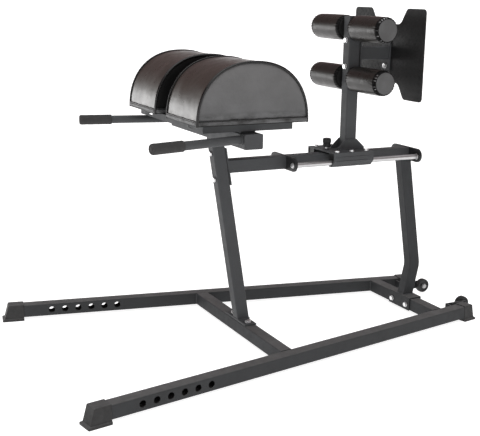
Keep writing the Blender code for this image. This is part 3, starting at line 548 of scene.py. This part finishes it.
def hex_head(mesh, seat, axis, flat=0.0078, height=0.0058, washer=0.0094):
    """Washer and chamfered hex head standing on a seat."""
    bore, thick = 0.006, 0.0014
    turned([(bore, 0.0), (washer, 0.0), (washer, 0.0009), (washer - 0.0006, thick), (bore, thick)],
           seat, axis, 48, mesh)
    corner = flat / math.cos(math.pi / 6)
    turned([(hexagon(flat, corner), thick), (hexagon(flat, corner), height - 0.0013),
            (hexagon(flat, corner * 0.965), height - 0.0005), (hexagon(flat * 0.94, flat * 0.97), height),
            (hexagon(flat * 0.55, flat * 0.55), height + 0.0002)], seat, axis, 48, mesh)


def thread_end(mesh, seat, axis, radius, length):
    """The grooved end of a bolt that stands out of its nut."""
    pitch = 0.0008
    stations = [(radius * 0.9, 0.0)]
    turns = max(2, int(length / pitch))
    for i in range(turns):
        at = length * i / turns
        stations += [(radius, at + 0.0002), (radius * 0.88, at + 0.0006)]
    stations += [(radius * 0.8, length), (radius * 0.3, length + 0.0003)]
    turned(stations, seat, axis, 24, mesh)


def make_bolts():
    """Each CAD bolt gets a washer, a hex head and, on its other end, a nut with the thread's end."""
    head_height = 0.007
    for node in sorted(n for n in frame["nodes"] if "_bolt_" in n or n.startswith("wheel_axle")):
        slim, axle = node.startswith("slide"), node.startswith("wheel_axle")
        axis = -Z if slim or node.startswith("base") else Y
        if axle:
            axis = X if node.endswith("right") else -X
        low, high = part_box(node)
        length = abs((high - low).dot(axis))
        start = (low + high) / 2 - axis * (length / 2 - head_height)
        shank = length - head_height * (1 if slim else 2)
        radius = 0.004 if slim else 0.005
        grown = 1.28 if node.startswith("base") else 1.0 if slim else 1.12
        mesh = bmesh.new()
        hex_head(mesh, start, -axis, 0.0078 * grown, 0.0062 * grown, 0.0094 * grown)
        stations = [(radius - 0.0001, -0.001), (radius - 0.0001, shank + (0.0 if slim else 0.002))]
        turned(stations, start, axis, 24, mesh)
        if not slim:
            hex_head(mesh, start + axis * shank, axis, height=0.0052)
            thread_end(mesh, start + axis * (shank + 0.0050), axis, radius - 0.0006, 0.0018)
        finish(mesh, node + "_detail", "dull_zinc" if axle else "zinc", BODY_OF[node], [node], sharp=30)


# ---------------------------------------------------------------- pads

def pad_arc(radius, steps):
    """(y, z) points from the front foot over the top to the rear foot."""
    points = []
    for i in range(steps + 1):
        angle = math.pi * (1 - i / steps)
        run = abs(math.cos(angle)) ** (2 / PAD_POWER) * math.copysign(1, math.cos(angle))
        rise = abs(math.sin(angle)) ** (2 / PAD_POWER)
        points.append((PAD_MID_Y + run * radius, PAD_BOTTOM + rise * radius))
    return points


def pad_level(point):
    """How far out a point of an end panel lies: 0 at the foot's middle, 1 on the piping."""
    run, rise = abs(point.y - PAD_MID_Y) / PAD_RADIUS, max(0.0, point.z - PAD_BOTTOM) / PAD_RADIUS
    return (run ** PAD_POWER + rise ** PAD_POWER) ** (1 / PAD_POWER)


def baked(obj, name):
    """The object's evaluated mesh as a new object; the old one is removed."""
    bpy.context.view_layer.update()
    graph = bpy.context.evaluated_depsgraph_get()
    data = bpy.data.meshes.new_from_object(obj.evaluated_get(graph))
    made = bpy.data.objects.new(name, data)
    bpy.context.scene.collection.objects.link(made)
    bpy.data.objects.remove(obj, do_unlink=True)
    return made


def inflate(obj, held, frames=20):
    """Blow the closed pad up as cloth; points in held stay, and no point moves further than PAD_BULGE."""
    before = [v.co.copy() for v in obj.data.vertices]
    group = obj.vertex_groups.new(name="held")
    group.add(held, 1.0, "REPLACE")
    cloth = obj.modifiers.new("cloth", "CLOTH")
    settings = cloth.settings
    settings.quality = 5
    settings.mass = 0.25
    settings.tension_stiffness = settings.compression_stiffness = 22
    settings.shear_stiffness = 12
    settings.bending_stiffness = 0.8
    settings.use_pressure = True
    settings.uniform_pressure_force = PAD_PRESSURE
    settings.vertex_group_mass = "held"
    settings.effector_weights.gravity = 0
    cloth.point_cache.frame_start = 1
    cloth.point_cache.frame_end = frames
    scene = bpy.context.scene
    for step in range(1, frames + 1):
        scene.frame_set(step)
    made = baked(obj, obj.name + "_blown")
    scene.frame_set(1)
    for vertex, old in zip(made.data.vertices, before):
        move = vertex.co - old
        if move.length > PAD_BULGE:
            vertex.co = old + move * (PAD_BULGE / move.length)
    return made


def pucker_seams(mesh):
    """Slow ripples everywhere, a crowned end panel, and short gathers above the hem's seam."""
    mesh.normal_update()
    moves = []
    for vertex in mesh.verts:
        x, y, z = vertex.co
        above = z - SEAM_Z
        level = min(1.0, pad_level(vertex.co))
        move = Vector()
        if above > 0:
            ease = min(1.0, above / 0.02)
            ripple = noise.noise(vertex.co * 13.0) * 0.0009 + noise.noise(vertex.co * 37.0) * 0.0003
            move = vertex.normal * ripple * ease
            gather = 0.5 + 0.5 * noise.noise(Vector((x * 24, y * 38, z * 9)))
            depth = 0.0052 * gather ** 2 * math.exp(-above / 0.011)
            if abs(vertex.normal.x) > PAD_END_FACING:
                outward = math.copysign(1, vertex.normal.x)
                inner = 1 - level ** 6
                crown = 0.0046 * (1 - level ** 4) * ease
                buckle = 0.0016 * noise.noise(Vector((x, y * 12, z * 17)) + X * 7) * math.exp(-above / 0.08)
                move.x += outward * (crown + buckle * ease - depth * inner)
            elif abs(vertex.normal.y) > 0.5:
                near_end = min(x - PAD_IN, PAD_OUT - x)
                move -= vertex.normal * depth * 0.45 * min(1.0, near_end / 0.02)
        moves.append(move)
    for vertex, move in zip(mesh.verts, moves):
        vertex.co += move


def held_points(data):
    """The points along both piping lines and round the foot."""
    held = []
    for vertex in data.vertices:
        near_end = min(vertex.co.x - PAD_IN, PAD_OUT - vertex.co.x) < 0.008
        if (near_end and pad_level(vertex.co) > 0.955) or vertex.co.z < SEAM_Z + 0.003:
            held.append(vertex.index)
    return held


def make_pad_mesh():
    """The right pad's cover: remeshed, inflated with its seams held, smoothed and gathered."""
    start = skin([[Vector((x, y, z)) for y, z in pad_arc(PAD_RADIUS - PAD_SHRINK, 56)]
                  for x in (PAD_IN + PAD_SHRINK, PAD_OUT - PAD_SHRINK)])
    bmesh.ops.recalc_face_normals(start, faces=start.faces)
    data = bpy.data.meshes.new("pad_start")
    start.to_mesh(data)
    start.free()
    obj = bpy.data.objects.new("pad_start", data)
    bpy.context.scene.collection.objects.link(obj)
    remesh = obj.modifiers.new("remesh", "REMESH")
    remesh.mode = "VOXEL"
    remesh.voxel_size = PAD_VOXEL
    obj = baked(obj, "pad_remeshed")
    obj = inflate(obj, held_points(obj.data))
    smooth = obj.modifiers.new("smooth", "SMOOTH")
    smooth.factor, smooth.iterations = 0.5, 4
    fine = obj.modifiers.new("fine", "SUBSURF")
    fine.levels = fine.render_levels = 1
    obj = baked(obj, "pad_final")
    mesh = bmesh.new()
    mesh.from_mesh(obj.data)
    bpy.data.objects.remove(obj, do_unlink=True)
    pucker_seams(mesh)
    return mesh


def flipped(mesh, side):
    """A copy of a right-hand mesh, mirrored for the left side."""
    made = mesh.copy()
    if side < 0:
        for vertex in made.verts:
            vertex.co.x = -vertex.co.x
    return made


def make_binding(label, side):
    """Bound edge over each end of the pad; the profile runs (outwards, away from the pad's middle)."""
    profile = ((-0.0052, -0.0030), (-0.0052, 0.0002), (-0.0045, 0.0014), (-0.0032, 0.0021), (-0.0014, 0.0020),
               (0.0002, 0.0010), (0.0014, -0.0004), (0.0023, -0.0018), (0.0026, -0.0036), (0.0022, -0.0054),
               (0.0010, -0.0068), (-0.0020, -0.0076), (-0.0046, -0.0056))
    arc = pad_arc(PAD_RADIUS - 0.0002, 84)
    binding = bmesh.new()
    for x, outward in ((PAD_IN, -side), (PAD_OUT, side)):
        rings = []
        for i, (y, z) in enumerate(arc):
            before, after = arc[max(i - 1, 0)], arc[min(i + 1, len(arc) - 1)]
            along = Vector((0, after[0] - before[0], after[1] - before[1])).normalized()
            radial = along.cross(-X)
            if radial.dot(Vector((0, y - PAD_MID_Y, z - PAD_BOTTOM))) <= 0:
                radial.negate()
            swell = 1 + 0.10 * noise.noise(Vector((x * 9, y * 21, z * 21)))
            rings.append([Vector((side * x + outward * u * swell, y, z)) + radial * v * swell for u, v in profile])
        skin(rings, mesh=binding)
    finish(binding, "pad_binding_" + label, "piping", "base", sharp=60, weighted=False)


def make_pads():
    source = make_pad_mesh()
    for label, side in SIDES:
        pad = finish(flipped(source, side), "pad_cover_" + label, "pad", "base", ["pad_" + label], 60, False)
        pad.data.materials.append(MATERIALS["pad_end"])
        pad.data.materials.append(MATERIALS["pad_inner_shaded"])
        for face in pad.data.polygons:
            if abs(face.normal.x) > PAD_END_FACING:
                # outer ends get the end vinyl; inner ends get its near-black copy as painted shade
                face.material_index = 1 if face.normal.x * side > 0 else 2
        make_binding(label, side)
        make_hem(label, side)
    source.free()


def foot_path(side):
    """Points round the pad's foot, with rounded corners."""
    half_x, half_y, corner = (PAD_OUT - PAD_IN) / 2, PAD_RADIUS, 0.012
    middle = Vector((side * (PAD_IN + PAD_OUT) / 2, PAD_MID_Y, PAD_BOTTOM))
    path, steps = [], 46
    turns = ((1, 1), (-1, 1), (-1, -1), (1, -1))
    for k, (sx, sy) in enumerate(turns):
        centre = Vector((sx * (half_x - corner), sy * (half_y - corner), 0))
        for i in range(9):
            angle = math.pi / 2 * (k + i / 8)
            path.append(middle + centre + corner * Vector((math.cos(angle), math.sin(angle), 0)))
        nx, ny = turns[(k + 1) % 4]
        after = Vector((nx * (half_x - corner), ny * (half_y - corner), 0))
        angle = math.pi / 2 * (k + 1)
        offset = corner * Vector((math.cos(angle), math.sin(angle), 0))
        for i in range(1, steps):
            path.append(middle + (centre + offset).lerp(after + offset, i / steps))
    return path


def make_hem(label, side):
    """Seam, board and wrapped band round the pad's foot, with the slight waves of a stapled cover."""
    path = foot_path(side)
    hem_profile = ((-0.006, 0.0036), (0.0005, 0.0034), (0.0024, 0.0044), (0.0034, 0.0070), (0.0034, 0.0110),
                   (0.0026, 0.0145), (0.0008, 0.0166), (-0.0012, 0.0172), (-0.006, 0.0172))
    board_profile = ((-0.009, 0.0001), (-0.0020, 0.0001), (-0.0012, 0.0008), (-0.0012, 0.0040), (-0.009, 0.0040))

    def rise(point):
        return noise.noise(point * 27.0 + Vector((5, 0, 0))) * 0.0013

    def outline(i):
        wave, lift = noise.noise(path[i] * 42.0) * 0.0012, rise(path[i])
        return [(u + wave * (v > 0.002), v + lift * (v > 0.006)) for u, v in hem_profile]

    lifted = [point + Vector((0, 0, HEM_HEIGHT + rise(point))) for point in path]
    seam = sweep(lifted, [(0.0004 + u, v) for u, v in circle(0.0023, 10)], closed=True)
    finish(seam, "pad_seam_" + label, "piping", "base", sharp=60, weighted=False)
    # near-black board under the hem: painted shade in the gap below it
    board = sweep(path, board_profile, closed=True)
    finish(board, "pad_board_" + label, "board", "base", sharp=40)
    hem = sweep(path, outline, closed=True)
    finish(hem, "pad_hem_" + label, "pad_end", "base", sharp=60, weighted=False)


# ---------------------------------------------------------------- rollers

def roller_stations():
    """(x, radius, share of pleating) along a roller, gathered at both ends and plain between."""
    half, mouth, steps, body_steps = ROLLER_HALF, ROLLER_MOUTH, 12, 13
    stations = [(-half + 0.0015, mouth - 0.004, 0.4), (-half + 0.0003, mouth - 0.0005, 1.0)]
    for i in range(steps + 1):
        angle = math.pi / 2 * i / steps
        stations.append((-half + ROLLER_SHOULDER * (1 - math.cos(angle)),
                         mouth + (ROLLER_RADIUS - mouth) * math.sin(angle) ** 0.8, 1 - 0.72 * i / steps))
    for i in range(1, body_steps + 1):
        share = i / body_steps
        stations.append((-half + ROLLER_SHOULDER + (half - ROLLER_SHOULDER) * share,
                         ROLLER_RADIUS + 0.0006 * math.sin(math.pi / 2 * share), 0.28 * math.exp(-share * 12)))
    return stations + [(-x, radius, depth) for x, radius, depth in reversed(stations[:-1])]


def roller_ring(centre, seed, x, radius, depth):
    """One pleated ring of a roller's cover."""
    points, count = [], PLEATS * 6
    for k in range(count):
        angle = math.tau * k / count
        drift = noise.noise(Vector((math.cos(angle) * 2, math.sin(angle) * 2, x * 3)) + seed)
        fold = math.cos(PLEATS * angle + drift * 2.2 + (0 if x < 0 else 1.3))
        fold = math.copysign(abs(fold) ** 0.8, fold)
        spot = Vector((x, radius * math.cos(angle), radius * math.sin(angle)))
        ripple = noise.noise(spot * 34 + seed) * 0.00045
        reach = radius + fold * 0.0014 * depth - 0.0010 * depth + ripple * (1 - depth)
        points.append(centre + Vector((x, reach * math.cos(angle), reach * math.sin(angle))))
    return points


def colour_gathers(cover, centre, seed, side):
    """Painted shade on the gathered ends, with a painted highlight on some of the folds round the outer disc."""
    for look in ("roller_end_shaded", "roller_fold_highlight"):
        cover.data.materials.append(MATERIALS[look])
    for face in cover.data.polygons:
        spot = face.center - centre
        # both gathered ends get painted shade
        if abs(spot.x) > ROLLER_HALF - 0.0165:
            reach, angle = math.hypot(spot.y, spot.z), math.atan2(spot.z, spot.y)
            # fold crests round the outer disc that get the painted highlight
            on_fold = 0.0430 < reach < 0.0464 and math.cos(PLEATS * angle) > 0.3
            chosen = noise.noise(Vector((angle * 2.3, 0, spot.x)) + seed) > 0.02
            face.material_index = 2 if spot.x * side > 0 and on_fold and chosen else 1


def make_discs(name, body, centre, side):
    """End discs: the inner one bored for the shaft, the outer one closed with a raised rim."""
    lip = ROLLER_LIP
    bored = [(0.0131, -0.003), (0.0131, 0.0016), (0.016, 0.0020), (lip - 0.002, 0.0018),
             (lip - 0.0006, 0.0010), (lip, -0.0005), (lip, -0.003)]
    closed = [(lip, -0.003), (lip, 0.0002), (lip - 0.0007, 0.0014), (lip - 0.0020, 0.0019),
              (lip - 0.0045, 0.0016), (0.020, 0.0018), (0.004, 0.0019)]
    for end in (-1, 1):
        inner = end * side < 0
        mesh = turned(bored if inner else closed, centre + Vector((end * (ROLLER_HALF - 0.0004), 0, 0)), end * X, 64,
                      closed=inner)
        # inner discs take the near-black board material: painted shade at the rollers' inner ends
        finish(mesh, f"{name}_disc_{'inner' if inner else 'outer'}", "board" if inner else "disc", body, sharp=40)


def make_rollers():
    for level, z in ROLLER_LEVELS:
        for label, side in SIDES:
            name = f"roller_{level}_{label}"
            body = "ankle_" + name
            centre = Vector((side * (ROLLER_IN + ROLLER_OUT) / 2, ROLLER_Y, z))
            seed = Vector((z * 7, side * 3, 0))
            rings = [roller_ring(centre, seed, *station) for station in roller_stations()]
            cover = finish(skin(rings), name + "_cover", "roller", body, [name], 75, False)
            colour_gathers(cover, centre, seed, side)
            make_discs(name, body, centre, side)


# ---------------------------------------------------------------- foot plate

def plate_outline():
    """(x, z) points round the bow tie, about its middle, with rounded corners."""
    quarter = [(0.078, 0.112, 0.018), (0.118, 0.172, 0.012), (0.233, 0.172, 0.018)]
    corners = quarter + [(x, -z, r) for x, z, r in reversed(quarter)]
    corners += [(-x, -z, r) for x, z, r in corners]
    outline = []
    for i, (x, z, radius) in enumerate(corners):
        here = Vector((x, z))
        start = here + (Vector(corners[i - 1][:2]) - here).normalized() * radius
        end = here + (Vector(corners[(i + 1) % len(corners)][:2]) - here).normalized() * radius
        for k in range(9):
            t = k / 8
            outline.append(start * (1 - t) ** 2 + here * 2 * t * (1 - t) + end * t ** 2)
    return outline


def on_plate(x, z):
    """Whether a lozenge fits at (x, z): clear of the plate's edge and of its two bolts."""
    x, z = abs(x), abs(z)
    if x > 0.226 or z > 0.165 or (x < 0.016 and abs(z - 0.050) < 0.018):
        return False
    slope = (x - 0.070) / 0.040
    return z < 0.105 or (slope > 0 and z < 0.105 + slope * 0.060)


def add_lozenge(plate, x, z, angle):
    length, width, rise = 0.0105, 0.0026, 0.0008
    along = Vector((math.cos(angle), 0, math.sin(angle)))
    across = Vector((-math.sin(angle), 0, math.cos(angle)))
    spot = Vector((x, PLATE_FRONT + 0.0002, z))
    base, crown = [], []
    for u, v in circle(1.0, 10):
        v *= 1 - 0.45 * abs(u)
        base.append(spot + along * u * length + across * v * width)
        crown.append(spot + along * u * length * 0.80 + across * v * width * 0.55 - Y * rise)
    skin([base, crown], mesh=plate)


def make_foot_plate():
    """Bow-tie plate with raised lozenges on the face that the feet push against."""
    outline = plate_outline()
    area = sum(a.x * b.y - b.x * a.y for a, b in zip(outline, outline[1:] + outline[:1]))
    inwards = -math.copysign(1.0, area)
    edge, back = 0.0007, PLATE_FRONT + PLATE_THICK
    rings = []
    for inset, y in ((edge, PLATE_FRONT), (0.0, PLATE_FRONT + edge), (0.0, back - edge), (edge, back)):
        points = []
        for i, point in enumerate(outline):
            along = outline[(i + 1) % len(outline)] - outline[i - 1]
            moved = point + Vector((along.y, -along.x)).normalized() * inwards * inset
            points.append(Vector((moved.x, y, PLATE_MID_Z + moved.y)))
        rings.append(points)
    plate = skin(rings)
    half_pitch, reach = 0.01325, 20
    for i in range(-reach, reach + 1):
        for k in range(-reach, reach + 1):
            x, z = i * half_pitch, k * half_pitch
            if (i + k) % 2 == 0 and on_plate(x, z):
                add_lozenge(plate, x, PLATE_MID_Z + z, math.pi / 4 if k % 2 else -math.pi / 4)
    finish(plate, "foot_plate_tread", "tread", "foot_unit", ["foot_plate"], sharp=35)


# ---------------------------------------------------------------- handles, knob, wheels and small parts

def mirrored(point, side):
    """A point of the right side, carried over to the given side."""
    return Vector((side * point[0], point[1], point[2]))


def make_grips():
    """Foam sleeves with a rounded, dished end, on the handles' plain bars."""
    length = GRIP_LENGTH
    for label, side in SIDES:
        root, tip = mirrored(HANDLE_ROOT, side), mirrored(HANDLE_TIP, side)
        along = (tip - root).normalized()
        stations = [(0.0152, 0.0), (0.0174, 0.0), (0.0181, 0.0005), (0.0185, 0.0014), (0.0186, 0.0030)]
        stations += [(0.0185 + 0.00012 * math.sin(i * 1.7), 0.008 + i * 0.0085) for i in range(12)]
        stations += [(0.0186, length - 0.0085), (0.0181, length - 0.0048), (0.0166, length - 0.0018),
                     (0.0142, length - 0.0004), (0.0124, length - 0.0004), (0.0118, length - 0.0012),
                     (0.0085, length - 0.0012), (0.0078, length - 0.0003), (0.003, length)]
        sleeve = turned(stations, tip - along * length, along, 48)
        finish(sleeve, "grip_sleeve_" + label, "grip", "base", ["grip_" + label], 50)
        refined("handle_" + label, "paint", bevel=0.0)


def make_knob():
    """Plunger knob with finger flutes, and its steel pin."""
    low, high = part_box("plunger")
    centre = Vector(((low.x + high.x) / 2, (low.y + high.y) / 2, 0))

    def fluted(radius, depth):
        points = []
        for i in range(84):
            angle = math.tau * i / 84
            reach = radius - depth * (0.5 + 0.5 * math.cos(KNOB_LOBES * angle))
            points.append((reach * math.cos(angle), reach * math.sin(angle)))
        return points

    # radius, depth of the flutes and height above the knob's base
    stations = ((0.0105, 0.0, 0.0), (0.0146, 0.0, 0.0006), (0.0156, 0.0, 0.0030), (0.0168, 0.0, 0.0058),
                (0.0146, 0.0, 0.0108), (0.0142, 0.0, 0.0130), (0.0166, 0.0014, 0.0175), (0.0170, 0.0018, 0.0250),
                (0.0162, 0.0013, 0.0312), (0.0135, 0.0005, 0.0338), (0.0050, 0.0, 0.0345))
    knob = turned([(fluted(radius, depth), KNOB_BASE + rise) for radius, depth, rise in stations], centre, Z)
    finish(knob, "plunger_knob", "plastic", "lock_pin", ["plunger"], 50)
    pin = turned([(0.0030, low.z), (0.0048, low.z + 0.0018), (0.0048, KNOB_BASE + 0.002)], centre, Z, 32)
    finish(pin, "plunger_pin", "steel", "lock_pin")


def make_wheels():
    half = WHEEL_HALF
    for label, side in SIDES:
        profile = [(0.0058, -half), (0.0105, -half), (0.0112, -half + 0.0008), (0.0125, -half + 0.0040),
                   (0.0205, -half + 0.0040), (0.0222, -half + 0.0006), (0.0262, -half), (0.0288, -half + 0.0016),
                   (0.0299, -half + 0.0050), (0.0300, 0.0)]
        profile += [(radius, -at) for radius, at in reversed(profile[:-1])]
        tyre = turned(profile, mirrored(WHEEL_CENTRE, side), X, 64, closed=True)
        finish(tyre, "wheel_tyre_" + label, "wheel", "transport_wheel_" + label, ["wheel_" + label], 40)


def make_rods():
    """Chamfered guide rods, each with a screw on both ends and a collar inside both brackets."""
    front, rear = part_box("rod_bracket_front")[1].y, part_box("rod_bracket_rear")[0].y
    end = ((0.0060, 0.0006), (0.0085, 0.0), (0.0096, 0.0006), (0.0100, 0.0018))
    collar = [(0.0099, 0.0001), (0.0122, 0.0001), (0.0128, 0.0007), (0.0128, 0.0036), (0.0120, 0.0044),
              (0.0099, 0.0044)]
    for label, _side in SIDES:
        low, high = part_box("guide_rod_" + label)
        centre = Vector(((low.x + high.x) / 2, 0, (low.z + high.z) / 2))
        profile = [(radius, low.y + at) for radius, at in end]
        profile += [(radius, high.y - at) for radius, at in reversed(end)]
        bar = turned(profile, centre, Y, 64)
        finish(bar, "guide_rod_bar_" + label, "chrome", "base", ["guide_rod_" + label], 35)
        screws = bmesh.new()
        hex_head(screws, centre + Y * (low.y - 0.0001), -Y, 0.0080, 0.0056, 0.0102)
        hex_head(screws, centre + Y * (high.y + 0.0001), Y, 0.0080, 0.0056, 0.0102)
        finish(screws, "guide_rod_screws_" + label, "zinc", "base", sharp=30)
        collars = bmesh.new()
        for face, turn in ((front, 1), (rear, -1)):
            turned(collar, centre + Y * face, turn * Y, 48, collars, closed=True)
        finish(collars, "guide_rod_collars_" + label, "steel", "base", sharp=35)


def weld(path, name, body, closed=False, size=0.0024):
    """Rippled weld bead along a path."""
    fine, step = [], 0.0012
    pairs = list(zip(path, path[1:])) + ([(path[-1], path[0])] if closed else [])
    for a, b in pairs:
        count = max(1, round((b - a).length / step))
        fine += [a.lerp(b, i / count) for i in range(count)]
    if not closed:
        fine.append(path[-1])

    def outline(i):
        swell = 1 + 0.12 * math.cos(math.tau * i / 3) + 0.18 * noise.noise(fine[i] * 90)
        if not closed and (i < 2 or i > len(fine) - 3):
            swell *= 0.55
        return circle(size * swell, 8)

    up = X if abs((path[1] - path[0]).normalized().z) > 0.7 else Z
    finish(sweep(fine, outline, closed=closed, up=up), name, "weld", body, sharp=70, weighted=False)


def loop_round(y, z, half_x=0.0228, half_y=0.0256, corner=0.005):
    """Level path round an upright's foot."""
    points = []
    for k, (sx, sy) in enumerate(((1, 1), (-1, 1), (-1, -1), (1, -1))):
        for i in range(5):
            angle = math.pi / 2 * (k + i / 4)
            points.append(Vector((0, y, z)) + X * (sx * (half_x - corner) + corner * math.cos(angle))
                          + Y * (sy * (half_y - corner) + corner * math.sin(angle)))
    return points


def make_welds():
    """Beads where the crossmembers, uprights, handles and gussets are welded on."""
    for node in ("front_crossmember", "rear_crossmember"):
        corners = [v.co for v in frame["nodes"][node].data.vertices]
        for label, side in SIDES:
            for edge, sy in (("front", -1), ("rear", 1)):
                ends = [max(corners, key=lambda c: sy * c.y + sz * c.z + 2 * side * c.x) for sz in (-1, 1)]
                low, high = ends[0].lerp(ends[1], 0.04), ends[0].lerp(ends[1], 0.96)
                shift = Vector((0, sy * 0.0006, 0))
                weld([low + shift, high + shift], f"weld_{node}_{edge}_{label}", "base")
    weld(loop_round(-0.0965, 0.0687), "weld_front_upright", "base", True)
    weld(loop_round(0.6815, 0.0677), "weld_rear_upright", "base", True)
    for label, side in SIDES:
        root = mirrored(HANDLE_ROOT, side) - Y * 0.0007
        weld([root + X * u + Z * v for u, v in circle(0.0156, 24)], "weld_handle_" + label, "base", True, 0.0020)
        foot = [Vector((side * 0.0285, ROLLER_Y + y, 0.7075)) for y in (-0.056, 0.056)]
        weld(foot, "weld_gusset_" + label, "foot_unit", size=0.0018)


def make_carriage_ribs():
    """Two pressed ribs along each side plate of the carriage."""
    low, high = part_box("carriage")
    taper = 0.002
    for label, side in SIDES:
        ribs = bmesh.new()
        x = side * (high.x - 0.0001)
        for z, front, rear, size in ((0.6895, 0.010, 0.014, 0.0018), (0.6735, 0.012, 0.022, 0.0020)):
            start, end = low.y + front, high.y - rear
            path = [Vector((x, y, z)) for y in (start, start + taper, end - taper, end)]
            shapes = [circle(size * share, 8) for share in (0.3, 1, 1, 0.3)]
            sweep(path, shapes.__getitem__, mesh=ribs)
        finish(ribs, "carriage_ribs_" + label, "paint", "foot_unit", sharp=60, weighted=False)


def make_structure():
    """Tubes, brackets, caps and shafts, straight from their CAD solids."""
    for node in ("front_upright", "crossbar", "crossbar_cap_left", "crossbar_cap_right", "pad_tray", "carriage",
                 "foot_post", "foot_arm", "top_beam"):
        refined(node, "paint")
    # the low parts take the darker copy of the paint: painted shade
    for node in ("rail_left", "rail_right", "front_crossmember", "rear_crossmember", "rear_upright",
                 "wheel_bracket_left", "wheel_bracket_right"):
        refined(node, "paint_low_shaded")
    for node in ("rod_bracket_front", "rod_bracket_rear"):
        refined(node, "black_paint", 0.0012)
    for node in ("slide_block_left", "slide_block_right"):
        refined(node, "plastic", 0.0008)
    for end in ("front", "rear"):
        for label, _side in SIDES:
            refined(f"foot_cap_{end}_{label}", "boot", 0.0013)
    for level in ("upper", "lower"):
        refined("roller_shaft_" + level, "steel", 0.0008, 2)


make_camera()
make_world()
make_lights()
make_floor()
make_structure()
make_carriage_ribs()
make_welds()
make_bolts()
make_rods()
make_pads()
make_rollers()
make_foot_plate()
make_grips()
make_knob()
make_wheels()
bpy.context.scene.view_settings.view_transform = "Standard"
